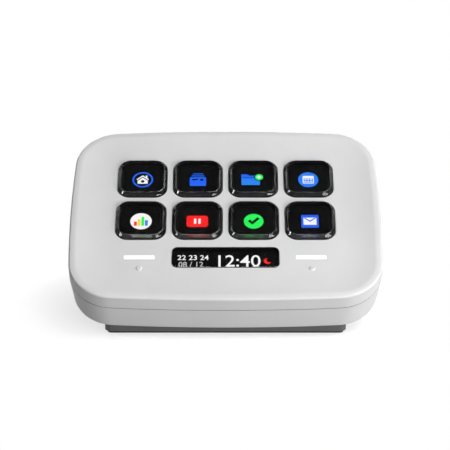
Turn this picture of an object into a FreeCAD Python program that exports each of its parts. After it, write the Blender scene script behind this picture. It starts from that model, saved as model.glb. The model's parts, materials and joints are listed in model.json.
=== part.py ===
import FreeCAD, Part
import math
import os
import re

import Sketcher
from FreeCAD import Placement, Rotation, Vector

# A small desk keypad: a thin white slab that leans back on a dark wedge stand.
# Eight clear keys travel over one display panel, and a narrow information display
# lies below them between two touch points, each with a light bar and a raised nib.
# Every slab piece is drawn in the face frame: x to the right, y up the face, z out of
# the face, with z = 0 on the flat part of the faceplate. Millimetres and degrees.

SIZES = {
    # Slab outline, seen square on to the face: the room that it leaves round the keys
    "side_margin": 15.85,
    "top_margin": 14.1,
    "info_drop": 7.95,
    "bottom_margin": 19.15,
    "side_crown_radius": 450.0,
    "end_crown_radius": 700.0,
    "flat_corner_radius": 1.1,
    # Dished faceplate and its skirt
    "cove_width": 12.5,
    "rim_width": 1.9,
    "crest_height": 1.1,
    "rim_drop": 0.25,
    "rim_bevel": 0.4,
    "skirt_wall": 2.0,
    "plate_thickness": 1.8,
    "seam_depth": 4.8,
    "seam_gap": 0.2,
    "lip_height": 1.3,
    "lip_clearance": 0.1,
    # Rear shell
    "slab_depth": 16.4,
    "rear_wall": 2.0,
    "rear_floor": 1.8,
    "rear_draft": 1.1,
    "rear_bevel": 1.2,
    # Keys
    "key_pitch": 19.4,
    "key_columns": 4,
    "key_rows": 2,
    "key_width": 17.1,
    "key_corner_radius": 4.2,
    "key_proud": 1.5,
    "key_bevel": 1.0,
    "key_gap": 0.2,
    "key_travel": 1.2,
    "stem_gap": 1.4,
    "frame_wall": 0.85,
    "frame_fit": 0.05,
    "stem_wall": 0.7,
    "film_depth": 1.8,
    "film_thickness": 0.2,
    "film_fit": 0.05,
    "flange_overhang": 0.75,
    "flange_thickness": 0.8,
    "stop_gap": 0.1,
    # Silicone dome mat, switch board and the display under the keys
    "crushed_dome_height": 0.7,
    "dome_rim_width": 1.1,
    "dome_spread": 0.2,
    "web_thickness": 0.4,
    "mat_margin": 0.5,
    "switch_board_thickness": 1.0,
    "switch_board_side_margin": 3.8,
    "switch_board_end_margin": 1.6,
    "board_window_margin": 0.4,
    "display_side_margin": 1.85,
    "display_end_margin": 1.75,
    "display_thickness": 1.4,
    "guide_thickness": 1.2,
    "guide_margin": 1.6,
    "tray_sheet": 0.4,
    "tray_gap": 0.1,
    "foam_width": 8.0,
    "foam_height": 4.0,
    "foam_side_inset": 9.5,
    "foam_end_inset": 7.0,
    # Information display
    "info_width": 36.3,
    "info_height": 8.8,
    "info_corner_radius": 1.9,
    "info_proud": 0.25,
    "info_gap": 0.1,
    "info_flange": 1.3,
    "info_flange_thickness": 0.8,
    "info_edge": 0.2,
    "info_panel_thickness": 1.3,
    # Touch points
    "bar_length": 10.3,
    "bar_width": 1.65,
    "bar_fit": 0.05,
    "bar_flange": 1.0,
    "bar_flange_thickness": 0.6,
    "nib_width": 2.0,
    "nib_height": 0.35,
    "nib_drop": 5.0,
    "touch_board_width": 15.0,
    "touch_board_height": 11.0,
    "touch_board_thickness": 0.8,
    "touch_board_drop": 1.9,
    "touch_post_width": 1.8,
    "touch_post_column": 5.6,
    "touch_foam_width": 5.0,
    "led_length": 1.6,
    "led_width": 0.8,
    "led_height": 0.6,
    "led_pitch": 3.2,
    # Main board
    "board_inset": 4.6,
    "board_end_inset": 5.4,
    "board_gap": 1.0,
    "board_thickness": 1.2,
    "boss_width": 4.6,
    "boss_gap": 0.5,
    "boss_end_inset": 9.35,
    "screw_width": 2.0,
    "screw_fit": 0.04,
    "screw_head_width": 3.6,
    "screw_head_height": 1.2,
    "screw_grip": 5.0,
    "hole_clearance": 0.2,
    # Cable socket in the upper edge
    "socket_width": 8.94,
    "socket_height": 3.26,
    "socket_length": 7.3,
    "socket_sheet": 0.35,
    "socket_tongue": 0.7,
    "socket_recess": 1.2,
    "port_gap": 0.22,
    # Ribbons
    "ribbon_thickness": 0.15,
    "ribbon_landing": 4.0,
    "ribbon_tail": 1.4,
    "display_ribbon_width": 16.0,
    "display_ribbon_column": 14.0,
    "info_ribbon_width": 12.0,
    "touch_ribbon_width": 4.6,
    "switch_ribbon_width": 8.0,
    # Stand
    "tilt": 30.0,
    "slab_clearance": 2.5,
    "stand_setback": 2.03,
    "stand_width": 82.0,
    "stand_length": 49.0,
    "stand_corner_radius": 2.4,
    "stand_wall": 2.0,
    "stand_boss_width": 5.0,
    "stand_boss_length": 7.0,
    "stand_boss_inset": 11.0,
    "stand_boss_upper_row": 8.0,
    "stand_boss_lower_row": 13.0,
    "pad_thickness": 1.0,
    "pad_inset": 0.85,
    "ballast_thickness": 3.0,
    "ballast_gap": 0.2,
    "ballast_setback": 6.0,
    "ballast_boss_inset": 21.0,
    "ballast_boss_front": 14.0,
    "ballast_boss_back": 8.0,
    "counterbore_depth": 1.3,
}

# Sizes that follow from the ones above
DERIVED = {
    "key_block_width": "(key_columns - 1) * key_pitch + key_width",
    "key_block_height": "(key_rows - 1) * key_pitch + key_width",
    "half_width": "key_block_width / 2 + side_margin",
    "half_height": "(top_margin + key_block_height + info_drop + bottom_margin) / 2",
    "key_centre_height": "half_height - top_margin - key_block_height / 2",
    "info_centre_drop": "half_height - bottom_margin",
    "flat_inset": "rim_width + cove_width",
    "corner_radius": "flat_corner_radius + flat_inset",
    "cove_radius": "(cove_width ^ 2 + crest_height ^ 2) / (2 * crest_height)",
    "edge_height": "crest_height - rim_drop",
    "skirt_top": "edge_height - rim_bevel",
    "key_window": "key_width + 2 * key_gap",
    "key_window_radius": "key_corner_radius + key_gap",
    "frame_inner": "key_width - 2 * frame_wall",
    "frame_inner_radius": "key_corner_radius - frame_wall",
    "stem_width": "frame_inner - 2 * frame_fit",
    "stem_radius": "frame_inner_radius - frame_fit",
    "hollow_width": "stem_width - 2 * stem_wall",
    "hollow_radius": "stem_radius - stem_wall",
    "flange_width": "key_width + 2 * flange_overhang",
    "flange_radius": "key_corner_radius + flange_overhang",
    "flange_top": "plate_thickness + stop_gap",
    "flange_bottom": "flange_top + flange_thickness",
    "dome_height": "key_travel + crushed_dome_height",
    "web_top": "flange_bottom + dome_height",
    "switch_board_top": "web_top + web_thickness",
    "display_top": "switch_board_top + switch_board_thickness",
    "stem_bottom": "display_top - key_travel - stem_gap",
    "display_width": "key_block_width + 2 * display_side_margin",
    "display_height": "key_block_height + 2 * display_end_margin",
    "guide_top": "display_top + display_thickness",
    "tray_bottom": "guide_top + guide_thickness + tray_sheet",
    "board_top": "tray_bottom + board_gap",
    "board_bottom": "board_top + board_thickness",
    "boss_column": "key_block_width / 2 + switch_board_side_margin + boss_gap + boss_width / 2",
    "boss_row": "half_height - boss_end_inset",
    "touch_column": "(key_columns - 1) / 2 * key_pitch",
    "touch_board_top": "plate_thickness + bar_flange_thickness + led_height",
    "info_flange_bottom": "plate_thickness + info_flange_thickness",
    "info_panel_bottom": "info_flange_bottom + info_panel_thickness",
    "pilot_width": "screw_width + screw_fit",
    "screw_hole_width": "screw_width + 2 * hole_clearance",
    "pilot_depth": "screw_grip + screw_width / 2",
    "slab_back": "half_height - rear_draft",
    "rear_slope": "rear_draft / (slab_depth - seam_depth)",
    # Height of the face frame's origin over the desk, and its distance behind the middle of
    # the whole keypad, so that the keypad stands on z = 0 with its middle at x = y = 0
    "face_height": "slab_clearance + slab_back * sin(tilt) + slab_depth * cos(tilt)",
    "front_reach": "half_height * cos(tilt) + skirt_top * sin(tilt)",
    "rear_reach": "(slab_back + rear_slope * rear_bevel) * cos(tilt)"
                  " + (slab_depth - rear_bevel) * sin(tilt)",
    "face_setback": "(front_reach - rear_reach) / 2",
    # The stand's front wall, behind the lower edge of the slab, and its middle
    "stand_front": "face_setback - slab_back * cos(tilt) + slab_depth * sin(tilt) + stand_setback",
    "stand_middle": "stand_front + stand_length / 2",
    "stand_boss_column": "stand_width / 2 - stand_boss_inset",
    "ballast_boss_column": "stand_width / 2 - ballast_boss_inset",
}

FUNCTIONS = {"sin", "cos", "tan", "sqrt"}


def make_sheet(doc):
    """Put every size in the spreadsheet, one row each, under its own name."""
    sheet = doc.addObject("Spreadsheet::Sheet", "sizes")
    rows = [(name, str(number)) for name, number in SIZES.items()]
    rows += [(name, "=" + formula) for name, formula in DERIVED.items()]
    for row, (name, content) in enumerate(rows, start=1):
        sheet.set(f"A{row}", name)
        sheet.set(f"B{row}", content)
        sheet.setAlias(f"B{row}", name)
    doc.recompute()
    return sheet


def in_sheet(formula):
    """Write a formula of plain size names as the document's expressions write it."""
    def prefixed(match):
        word = match.group(0)
        return word if word in FUNCTIONS else "sizes." + word
    return re.sub(r"[a-z][a-z_]+", prefixed, str(formula))


def bind(thing, settings):
    """Bind properties of an object to formulas of size names."""
    for name, formula in settings.items():
        thing.setExpression(name, in_sheet(formula))


def size(doc, formula):
    """Give the number that a formula of size names comes to."""
    found = doc.getObject("sizes").evalExpression(in_sheet(formula))
    return float(getattr(found, "Value", found))


def place_on_face(thing, right="0", up="0", out="0"):
    """Place an object by a point of the face frame, leaning back with the slab."""
    thing.Placement = Placement(Vector(0, 0, 0), Rotation(Vector(1, 0, 0), size(thing.Document, "tilt")))
    bind(thing, {
        "Placement.Base.x": right,
        "Placement.Base.y": f"face_setback + ({up}) * cos(tilt) - ({out}) * sin(tilt)",
        "Placement.Base.z": f"face_height + ({up}) * sin(tilt) + ({out}) * cos(tilt)",
        "Placement.Rotation.Angle": "tilt",
    })


def new_body(doc, label):
    """Start a sub-part; its label is the name of its file."""
    body = doc.addObject("PartDesign::Body", label)
    body.Label = label
    return body


def face_body(doc, label, right="0", up="0", out="0"):
    """Start a sub-part of the slab, drawn in the face frame."""
    body = new_body(doc, label)
    place_on_face(body, right, up, out)
    return body


def new_sketch(body, name, plane="XY_Plane", x="0", y="0", z="0", turn=None):
    """Make an empty sketch on one of the body's own planes, moved by x, y and z."""
    sketch = body.newObject("Sketcher::SketchObject", name)
    datum = next(f for f in body.Origin.OriginFeatures if f.Role == plane)
    sketch.AttachmentSupport = [(datum, "")]
    sketch.MapMode = "FlatFace"
    if turn:
        angle = size(body.Document, turn)
        sketch.AttachmentOffset = Placement(Vector(0, 0, 0), Rotation(Vector(1, 0, 0), angle))
        bind(sketch, {"AttachmentOffset.Rotation.Angle": turn})
    bind(sketch, {
        "AttachmentOffset.Base.x": x,
        "AttachmentOffset.Base.y": y,
        "AttachmentOffset.Base.z": z,
    })
    return sketch


def constrain(sketch, kind, *where, formula=None):
    """Add one constraint, and bind its value to a formula if it has one."""
    if formula is None:
        sketch.addConstraint(Sketcher.Constraint(kind, *where))
        return
    index = sketch.addConstraint(Sketcher.Constraint(kind, *where, size(sketch.Document, formula)))
    sketch.setExpression(f"Constraints[{index}]", in_sheet(formula))


def add_arc(sketch, x, y, radius, start, end):
    """Add an arc, counter-clockwise from start to end in radians."""
    circle = Part.Circle(Vector(x, y, 0), Vector(0, 0, 1), radius)
    return sketch.addGeometry(Part.ArcOfCircle(circle, start, end), False)


def add_line(sketch, start, end):
    """Add a straight line between two points."""
    return sketch.addGeometry(Part.LineSegment(Vector(*start, 0), Vector(*end, 0)), False)


def crown_corner(half_width, half_height, side, end, corner):
    """Find the middle of the corner arc that lies inside both crowned sides."""
    x, y = half_width - corner, half_height - corner
    for _ in range(30):
        from_side = math.hypot(x - half_width + side, y)
        from_end = math.hypot(x, y - half_height + end)
        side_x, side_y = (x - half_width + side) / from_side, y / from_side
        end_x, end_y = x / from_end, (y - half_height + end) / from_end
        side_error = from_side - (side - corner)
        end_error = from_end - (end - corner)
        scale = side_x * end_y - side_y * end_x
        x -= (side_error * end_y - end_error * side_y) / scale
        y -= (side_x * end_error - end_x * side_error) / scale
    return x, y


def draw_crowned_outline(sketch, inset="0"):
    """Draw the slab's outline: four slightly crowned sides and four tangent corners.

    An inset outline has the same middles and smaller radii, so it stays parallel."""
    doc = sketch.Document
    width = size(doc, f"half_width - ({inset})")
    height = size(doc, f"half_height - ({inset})")
    side = size(doc, f"side_crown_radius - ({inset})")
    end = size(doc, f"end_crown_radius - ({inset})")
    corner = size(doc, f"corner_radius - ({inset})")
    x, y = crown_corner(width, height, side, end, corner)
    low = math.atan2(y, x - width + side)
    high = math.atan2(y - height + end, x)
    add_arc(sketch, width - side, 0, side, -low, low)
    add_arc(sketch, x, y, corner, low, high)
    add_arc(sketch, 0, height - end, end, high, math.pi - high)
    add_arc(sketch, -x, y, corner, math.pi - high, math.pi - low)
    add_arc(sketch, side - width, 0, side, math.pi - low, math.pi + low)
    add_arc(sketch, -x, -y, corner, math.pi + low, math.pi + high)
    add_arc(sketch, 0, end - height, end, math.pi + high, 2 * math.pi - high)
    add_arc(sketch, x, -y, corner, 2 * math.pi - high, 2 * math.pi - low)
    for arc in range(8):
        constrain(sketch, "Tangent", arc, 2, (arc + 1) % 8, 1)
    constrain(sketch, "Radius", 0, formula=f"side_crown_radius - ({inset})")
    constrain(sketch, "Radius", 2, formula=f"end_crown_radius - ({inset})")
    constrain(sketch, "Radius", 1, formula=f"corner_radius - ({inset})")
    constrain(sketch, "Equal", 0, 4)
    constrain(sketch, "Equal", 2, 6)
    for arc in (3, 5, 7):
        constrain(sketch, "Equal", 1, arc)
    for arc in (0, 4):
        constrain(sketch, "PointOnObject", arc, 3, -1)
    for arc in (2, 6):
        constrain(sketch, "PointOnObject", arc, 3, -2)
    constrain(sketch, "DistanceX", 0, 3, -1, 1, formula="side_crown_radius - half_width")
    constrain(sketch, "DistanceX", -1, 1, 4, 3, formula="side_crown_radius - half_width")
    constrain(sketch, "DistanceY", 2, 3, -1, 1, formula="end_crown_radius - half_height")
    constrain(sketch, "DistanceY", -1, 1, 6, 3, formula="end_crown_radius - half_height")


def draw_rounded_rectangle(sketch, width, height, radius):
    """Draw a rectangle with round corners about the sketch's origin."""
    doc = sketch.Document
    first = sketch.GeometryCount
    x, y, r = size(doc, width) / 2, size(doc, height) / 2, size(doc, radius)
    quarter = math.pi / 2
    add_line(sketch, (r - x, -y), (x - r, -y))
    add_arc(sketch, x - r, r - y, r, -quarter, 0)
    add_line(sketch, (x, r - y), (x, y - r))
    add_arc(sketch, x - r, y - r, r, 0, quarter)
    add_line(sketch, (x - r, y), (r - x, y))
    add_arc(sketch, r - x, y - r, r, quarter, 2 * quarter)
    add_line(sketch, (-x, y - r), (-x, r - y))
    add_arc(sketch, r - x, r - y, r, 2 * quarter, 3 * quarter)
    for edge in range(8):
        constrain(sketch, "Tangent", first + edge, 2, first + (edge + 1) % 8, 1)
    for edge in (0, 4):
        constrain(sketch, "Horizontal", first + edge)
    for edge in (2, 6):
        constrain(sketch, "Vertical", first + edge)
    constrain(sketch, "Radius", first + 1, formula=radius)
    for edge in (3, 5, 7):
        constrain(sketch, "Equal", first + 1, first + edge)
    constrain(sketch, "DistanceX", first + 6, 1, first + 2, 1, formula=width)
    constrain(sketch, "DistanceY", first, 1, first + 4, 1, formula=height)
    constrain(sketch, "Symmetric", first, 1, first + 4, 1, -1, 1)


def draw_rectangle(sketch, width, height):
    """Draw a plain rectangle about the sketch's origin."""
    doc = sketch.Document
    first = sketch.GeometryCount
    x, y = size(doc, width) / 2, size(doc, height) / 2
    corners = [(-x, -y), (x, -y), (x, y), (-x, y)]
    for edge in range(4):
        add_line(sketch, corners[edge], corners[(edge + 1) % 4])
    for edge in range(4):
        constrain(sketch, "Coincident", first + edge, 2, first + (edge + 1) % 4, 1)
    for edge in (0, 2):
        constrain(sketch, "Horizontal", first + edge)
    for edge in (1, 3):
        constrain(sketch, "Vertical", first + edge)
    constrain(sketch, "DistanceX", first, 1, first, 2, formula=width)
    constrain(sketch, "DistanceY", first + 1, 1, first + 1, 2, formula=height)
    constrain(sketch, "Symmetric", first, 1, first + 2, 1, -1, 1)


def draw_polygon(sketch, corners):
    """Draw a closed polygon whose corners are pairs of formulas, each one fixed in place."""
    doc = sketch.Document
    points = [(size(doc, x), size(doc, y)) for x, y in corners]
    count = len(points)
    first = sketch.GeometryCount
    for edge in range(count):
        add_line(sketch, points[edge], points[(edge + 1) % count])
    for edge in range(count):
        constrain(sketch, "Coincident", first + edge, 2, first + (edge + 1) % count, 1)
        x, y = corners[edge]
        constrain(sketch, "DistanceX", -1, 1, first + edge, 1, formula=x)
        constrain(sketch, "DistanceY", -1, 1, first + edge, 1, formula=y)


def draw_cut_rectangle(sketch, width, height, radius, x="0", y="0"):
    """Draw a rectangle about a point, its corners cut off where a round of this radius would touch.

    Hidden corners are cut like this instead of rounded, which keeps the model light."""
    cut = f"({radius}) * (2 - sqrt(2))"
    corners = []
    for right, up, side_first in ((1, -1, False), (1, 1, True), (-1, 1, False), (-1, -1, True)):
        on_end = (f"{x} + {right} * (({width}) / 2 - {cut})", f"{y} + {up} * ({height}) / 2")
        on_side = (f"{x} + {right} * ({width}) / 2", f"{y} + {up} * (({height}) / 2 - {cut})")
        corners += [on_side, on_end] if side_first else [on_end, on_side]
    draw_polygon(sketch, corners)


def draw_posts(sketch, places, width):
    """Draw regular octagons. Each place is a sign and a formula to the right, and the same upwards."""
    for right, x, up, y in places:
        draw_cut_rectangle(sketch, width, width, f"({width}) / 2", f"{right} * ({x})", f"{up} * ({y})")


def pad(body, sketch, length, name, down=False, both_ways=False):
    """Raise a sketch into a solid, along its normal or against it."""
    feature = body.newObject("PartDesign::Pad", name)
    feature.Profile = sketch
    feature.Reversed = down
    if both_ways:
        feature.SideType = "Symmetric"
    bind(feature, {"Length": length})
    body.Tip = feature
    return feature


def pocket(body, sketch, length, name, up=False, both_ways=False):
    """Cut a sketch into the solid, and make sure that it did take something away."""
    before = body.Tip
    feature = body.newObject("PartDesign::Pocket", name)
    feature.Profile = sketch
    feature.Reversed = up
    if both_ways:
        feature.SideType = "Symmetric"
    bind(feature, {"Length": length})
    body.Tip = feature
    body.Document.recompute()
    if feature.Shape.isNull() or feature.Shape.Volume >= before.Shape.Volume:
        raise RuntimeError(f"{body.Label}: {name} cuts nothing")
    return feature


def repeat_over_keys(body, feature, name):
    """Repeat a feature of the lower left key over all columns and rows."""
    pattern = body.newObject("PartDesign::LinearPattern", name)
    pattern.Originals = [feature]
    origin = body.Origin.OriginFeatures
    pattern.Direction = (next(f for f in origin if f.Role == "X_Axis"), [""])
    pattern.Direction2 = (next(f for f in origin if f.Role == "Y_Axis"), [""])
    pattern.Occurrences = round(size(body.Document, "key_columns"))
    pattern.Occurrences2 = round(size(body.Document, "key_rows"))
    bind(pattern, {
        "Length": "(key_columns - 1) * key_pitch",
        "Length2": "(key_rows - 1) * key_pitch",
        "Occurrences": "key_columns",
        "Occurrences2": "key_rows",
    })
    body.Tip = pattern
    return pattern


def loft(body, kind, sections, name):
    """Join two or more parallel outlines with straight-sided walls."""
    feature = body.newObject(f"PartDesign::{kind}", name)
    feature.Profile = sections[0]
    feature.Sections = sections[1:]
    feature.Ruled = True
    body.Tip = feature
    return feature


def face_name(shape, height_of):
    """Name the face whose middle comes highest by the given measure."""
    heights = [height_of(face.CenterOfMass) for face in shape.Faces]
    return f"Face{heights.index(max(heights)) + 1}"


FIRST_KEY = {
    "x": "-(key_columns - 1) / 2 * key_pitch",
    "y": "key_centre_height - (key_rows - 1) / 2 * key_pitch",
}

BOARD_BOSSES = [(side, "boss_column", end, "boss_row") for end in (1, -1) for side in (-1, 1)]

STAND_SCREWS = [
    (side, "stand_boss_column", sign, row)
    for sign, row in ((1, "stand_boss_upper_row"), (-1, "stand_boss_lower_row"))
    for side in (-1, 1)
]

BALLAST_SCREWS = [
    (side, "ballast_boss_column", sign, row)
    for sign, row in (
        (-1, "stand_length / 2 - ballast_boss_front"),
        (1, "stand_length / 2 - ballast_boss_back"),
    )
    for side in (-1, 1)
]

TOUCH_SPOTS = [(side, "touch_column", -1, "info_centre_drop + nib_drop") for side in (-1, 1)]

TOUCH_POSTS = [
    (side, f"touch_column {sign} touch_post_column", -1, "info_centre_drop + nib_drop")
    for side in (-1, 1)
    for sign in ("-", "+")
]

# Where the slab's back lies in the stand's own frame
SLAB_BACK = {
    "y": "face_setback - stand_middle + slab_depth * sin(tilt)",
    "z": "face_height - slab_depth * cos(tilt)",
}

# Plane of each ribbon's edge, where its turn is, which way it bulges, the back of the panel
# that it comes from, and its width
RIBBONS = {
    "display_ribbon": ("YZ_Plane", "-display_ribbon_column",
                       "key_centre_height + display_height / 2 + tray_sheet + tray_gap", 1,
                       "guide_top", "display_ribbon_width"),
    "info_ribbon": ("YZ_Plane", "0", "-(info_centre_drop + info_height / 2 + info_flange)", -1,
                    "info_panel_bottom", "info_ribbon_width"),
    "touch_ribbon_left": ("YZ_Plane", "-touch_column",
                          "-(info_centre_drop + touch_board_drop + touch_board_height / 2)", -1,
                          "(touch_board_top + touch_board_thickness)", "touch_ribbon_width"),
    "touch_ribbon_right": ("YZ_Plane", "touch_column",
                           "-(info_centre_drop + touch_board_drop + touch_board_height / 2)", -1,
                           "(touch_board_top + touch_board_thickness)", "touch_ribbon_width"),
    "switch_ribbon": ("XZ_Plane", "key_block_width / 2 + switch_board_side_margin", "key_centre_height", 1,
                      "display_top", "switch_ribbon_width"),
}

# Chips on the back of the main board: middle, width and height, thickness
CHIPS = [
    (-8.0, 2.0, 10.0, 10.0, 1.0),
    (8.0, 2.0, 8.0, 6.0, 0.9),
    (-24.0, 20.0, 5.0, 5.0, 0.9),
    (20.0, 22.0, 4.0, 4.0, 1.2),
    (0.0, 18.0, 6.0, 3.0, 0.9),
    (14.0, -18.0, 5.0, 4.0, 0.9),
]


def draw_rim_section(sketch):
    """Draw the section of the shell's edge: cove, crest, sloping rim band, bevel, skirt and wall."""
    doc = sketch.Document
    edge = size(doc, "half_width")
    flat = size(doc, "half_width - flat_inset")
    crest = size(doc, "crest_height")
    brim = size(doc, "edge_height")
    bevel = size(doc, "rim_bevel")
    inner = size(doc, "half_width - skirt_wall")
    foot = -size(doc, "seam_depth - seam_gap / 2")
    under = -size(doc, "plate_thickness")
    radius = size(doc, "cove_radius")
    swing = math.asin(size(doc, "cove_width") / radius)
    crest_at = flat + size(doc, "cove_width")
    add_arc(sketch, flat, radius, radius, -math.pi / 2, swing - math.pi / 2)
    corners = [(crest_at, crest), (edge - bevel, brim), (edge, brim - bevel), (edge, foot),
               (inner, foot), (inner, under), (flat, under), (flat, 0)]
    for start, end in zip(corners, corners[1:]):
        add_line(sketch, start, end)
    constrain(sketch, "Coincident", 0, 2, 1, 1)
    for line in range(1, 7):
        constrain(sketch, "Coincident", line, 2, line + 1, 1)
    constrain(sketch, "Coincident", 7, 2, 0, 1)
    constrain(sketch, "Tangent", 0, -1)
    for line in (3, 5, 7):
        constrain(sketch, "Vertical", line)
    for line in (4, 6):
        constrain(sketch, "Horizontal", line)
    constrain(sketch, "DistanceX", -1, 1, 3, 1, formula="half_width")
    constrain(sketch, "DistanceX", 0, 1, 3, 1, formula="flat_inset")
    constrain(sketch, "DistanceX", 0, 2, 3, 1, formula="rim_width")
    constrain(sketch, "DistanceY", 0, 1, 0, 2, formula="crest_height")
    constrain(sketch, "DistanceY", 2, 1, 0, 2, formula="rim_drop")
    constrain(sketch, "DistanceX", 2, 1, 2, 2, formula="rim_bevel")
    constrain(sketch, "DistanceY", 2, 2, 2, 1, formula="rim_bevel")
    constrain(sketch, "DistanceY", 3, 2, -1, 1, formula="seam_depth - seam_gap / 2")
    constrain(sketch, "DistanceX", 5, 1, 3, 1, formula="skirt_wall")
    constrain(sketch, "DistanceY", 6, 1, -1, 1, formula="plate_thickness")


def make_front_shell(doc):
    """Mould the white front: a dished face swept round the crowned outline, with its openings."""
    body = face_body(doc, "front_shell")
    path = new_sketch(body, "outline")
    draw_crowned_outline(path)
    section = new_sketch(body, "rim_section", "XZ_Plane")
    draw_rim_section(section)
    rim = body.newObject("PartDesign::AdditivePipe", "dished_rim")
    rim.Profile = section
    rim.Spine = (path, [])
    body.Tip = rim
    plate = new_sketch(body, "flat_outline")
    draw_crowned_outline(plate, "flat_inset")
    pad(body, plate, "plate_thickness", "flat_plate", down=True)
    doc.recompute()
    rebate = new_sketch(body, "rebate_outline", z="-seam_depth + seam_gap / 2")
    draw_crowned_outline(rebate, "skirt_wall / 2")
    pocket(body, rebate, "lip_height", "lip_rebate", up=True)

    window = new_sketch(body, "key_window_outline", **FIRST_KEY)
    draw_rounded_rectangle(window, "key_window", "key_window", "key_window_radius")
    first = pocket(body, window, "4 * plate_thickness", "key_window_cut", both_ways=True)
    repeat_over_keys(body, first, "key_windows")
    info = new_sketch(body, "info_window_outline", y="-info_centre_drop")
    draw_rounded_rectangle(info, "info_width + 2 * info_gap", "info_height + 2 * info_gap",
                           "info_corner_radius + info_gap")
    doc.recompute()
    pocket(body, info, "4 * plate_thickness", "info_window_cut", both_ways=True)
    for side, sign in (("left", "-"), ("right", "")):
        bar = new_sketch(body, f"{side}_bar_outline", x=f"{sign}touch_column", y="-info_centre_drop")
        draw_cut_rectangle(bar, "bar_length + 2 * bar_fit", "bar_width + 2 * bar_fit", "bar_width / 2")
        pocket(body, bar, "4 * plate_thickness", f"{side}_bar_slot", both_ways=True)

    nibs = new_sketch(body, "nib_outlines", z="-plate_thickness / 2")
    draw_posts(nibs, TOUCH_SPOTS, "nib_width")
    pad(body, nibs, "plate_thickness / 2 + nib_height", "nibs")
    doc.recompute()
    posts = new_sketch(body, "touch_post_outlines", z="-plate_thickness / 2")
    draw_posts(posts, TOUCH_POSTS, "touch_post_width")
    pad(body, posts, "touch_board_top - plate_thickness / 2", "touch_posts", down=True)
    doc.recompute()
    bosses = new_sketch(body, "boss_outlines", z="-plate_thickness / 2")
    draw_posts(bosses, BOARD_BOSSES, "boss_width")
    pad(body, bosses, "board_top - plate_thickness / 2", "bosses", down=True)
    doc.recompute()
    pilots = new_sketch(body, "pilot_outlines", z="-board_top")
    draw_posts(pilots, BOARD_BOSSES, "pilot_width")
    pocket(body, pilots, "pilot_depth", "pilot_holes", up=True)
    return body


def make_rear_shell(doc):
    """Mould the white rear: a drafted tub with a tongue inside the seam and the socket's port."""
    body = face_body(doc, "rear_shell")
    rim_level = "-(seam_depth + seam_gap / 2)"
    top = new_sketch(body, "seam_outline", z=rim_level)
    draw_crowned_outline(top)
    edge = new_sketch(body, "edge_outline", z="-(slab_depth - rear_bevel)")
    draw_crowned_outline(edge, "rear_draft - rear_slope * rear_bevel")
    back = new_sketch(body, "back_outline", z="-slab_depth")
    draw_crowned_outline(back, "rear_draft + rear_bevel")
    loft(body, "AdditiveLoft", [top, edge, back], "drafted_block")
    doc.recompute()
    mouth = new_sketch(body, "cavity_mouth", z=rim_level)
    draw_crowned_outline(mouth, "rear_wall")
    floor = new_sketch(body, "cavity_floor", z="-(slab_depth - rear_floor)")
    draw_crowned_outline(floor, "rear_wall + rear_slope * (slab_depth - rear_floor - seam_depth)")
    loft(body, "SubtractiveLoft", [mouth, floor], "cavity")
    doc.recompute()

    tongue = new_sketch(body, "tongue_outline", z=rim_level)
    draw_crowned_outline(tongue, "skirt_wall / 2 + lip_clearance")
    pad(body, tongue, "lip_height + seam_gap", "tongue_block")
    doc.recompute()
    hollow = new_sketch(body, "tongue_hollow_outline", z=rim_level)
    draw_crowned_outline(hollow, "rear_wall")
    pocket(body, hollow, "lip_height + seam_gap", "tongue_hollow", up=True)

    port = new_sketch(body, "port_outline", "XZ_Plane", y="-(board_top - socket_height / 2)",
                      z="-half_height")
    draw_cut_rectangle(port, "socket_width + 2 * port_gap", "socket_height + 2 * port_gap",
                       "socket_height / 2 + port_gap")
    pocket(body, port, "4 * rear_wall", "port_cut", both_ways=True)
    holes = new_sketch(body, "stand_screw_holes", z="-slab_depth")
    draw_posts(holes, STAND_SCREWS, "screw_hole_width")
    pocket(body, holes, "4 * rear_floor", "stand_screw_cut", both_ways=True)
    return body


def make_keycap(doc, number, right, up):
    """Make one clear cap: a bevelled head that fills its window, over a hollow stem."""
    body = face_body(doc, f"keycap_{number}", right, up)
    head = new_sketch(body, f"cap_{number}_head_outline", z="-flange_top")
    draw_rounded_rectangle(head, "key_width", "key_width", "key_corner_radius")
    block = pad(body, head, "flange_top + key_proud", f"cap_{number}_head")
    doc.recompute()
    bevel = body.newObject("PartDesign::Chamfer", f"cap_{number}_bevel")
    bevel.Base = (block, [face_name(block.Shape, lambda middle: middle.z)])
    bind(bevel, {"Size": "key_bevel"})
    body.Tip = bevel
    doc.recompute()
    stem = new_sketch(body, f"cap_{number}_stem_outline", z="-flange_top")
    draw_cut_rectangle(stem, "stem_width", "stem_width", "stem_radius")
    pad(body, stem, "stem_bottom - flange_top", f"cap_{number}_stem", down=True)
    hollow = new_sketch(body, f"cap_{number}_hollow_outline", z="-stem_bottom")
    draw_cut_rectangle(hollow, "hollow_width", "hollow_width", "hollow_radius")
    pocket(body, hollow, "stem_bottom - film_depth", f"cap_{number}_hollow", up=True)
    return body


def make_key_film(doc, number, right, up):
    """Cut one smoked film, bonded under the head of a cap, on which the picture shows."""
    body = face_body(doc, f"key_film_{number}", right, up)
    outline = new_sketch(body, f"film_{number}_outline", z="-film_depth")
    film_width = "hollow_width - 2 * film_fit"
    draw_cut_rectangle(outline, film_width, film_width, "hollow_radius - film_fit")
    pad(body, outline, "film_thickness", f"film_{number}_sheet", down=True)
    return body


def make_key_frame(doc, number, right, up):
    """Make one black frame: the flange on a cap's stem that stops the key under the faceplate."""
    body = face_body(doc, f"key_frame_{number}", right, up)
    flange = new_sketch(body, f"frame_{number}_outline", z="-flange_top")
    draw_cut_rectangle(flange, "flange_width", "flange_width", "flange_radius")
    draw_cut_rectangle(flange, "frame_inner", "frame_inner", "frame_inner_radius")
    pad(body, flange, "flange_thickness", f"frame_{number}_flange", down=True)
    return body


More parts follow.
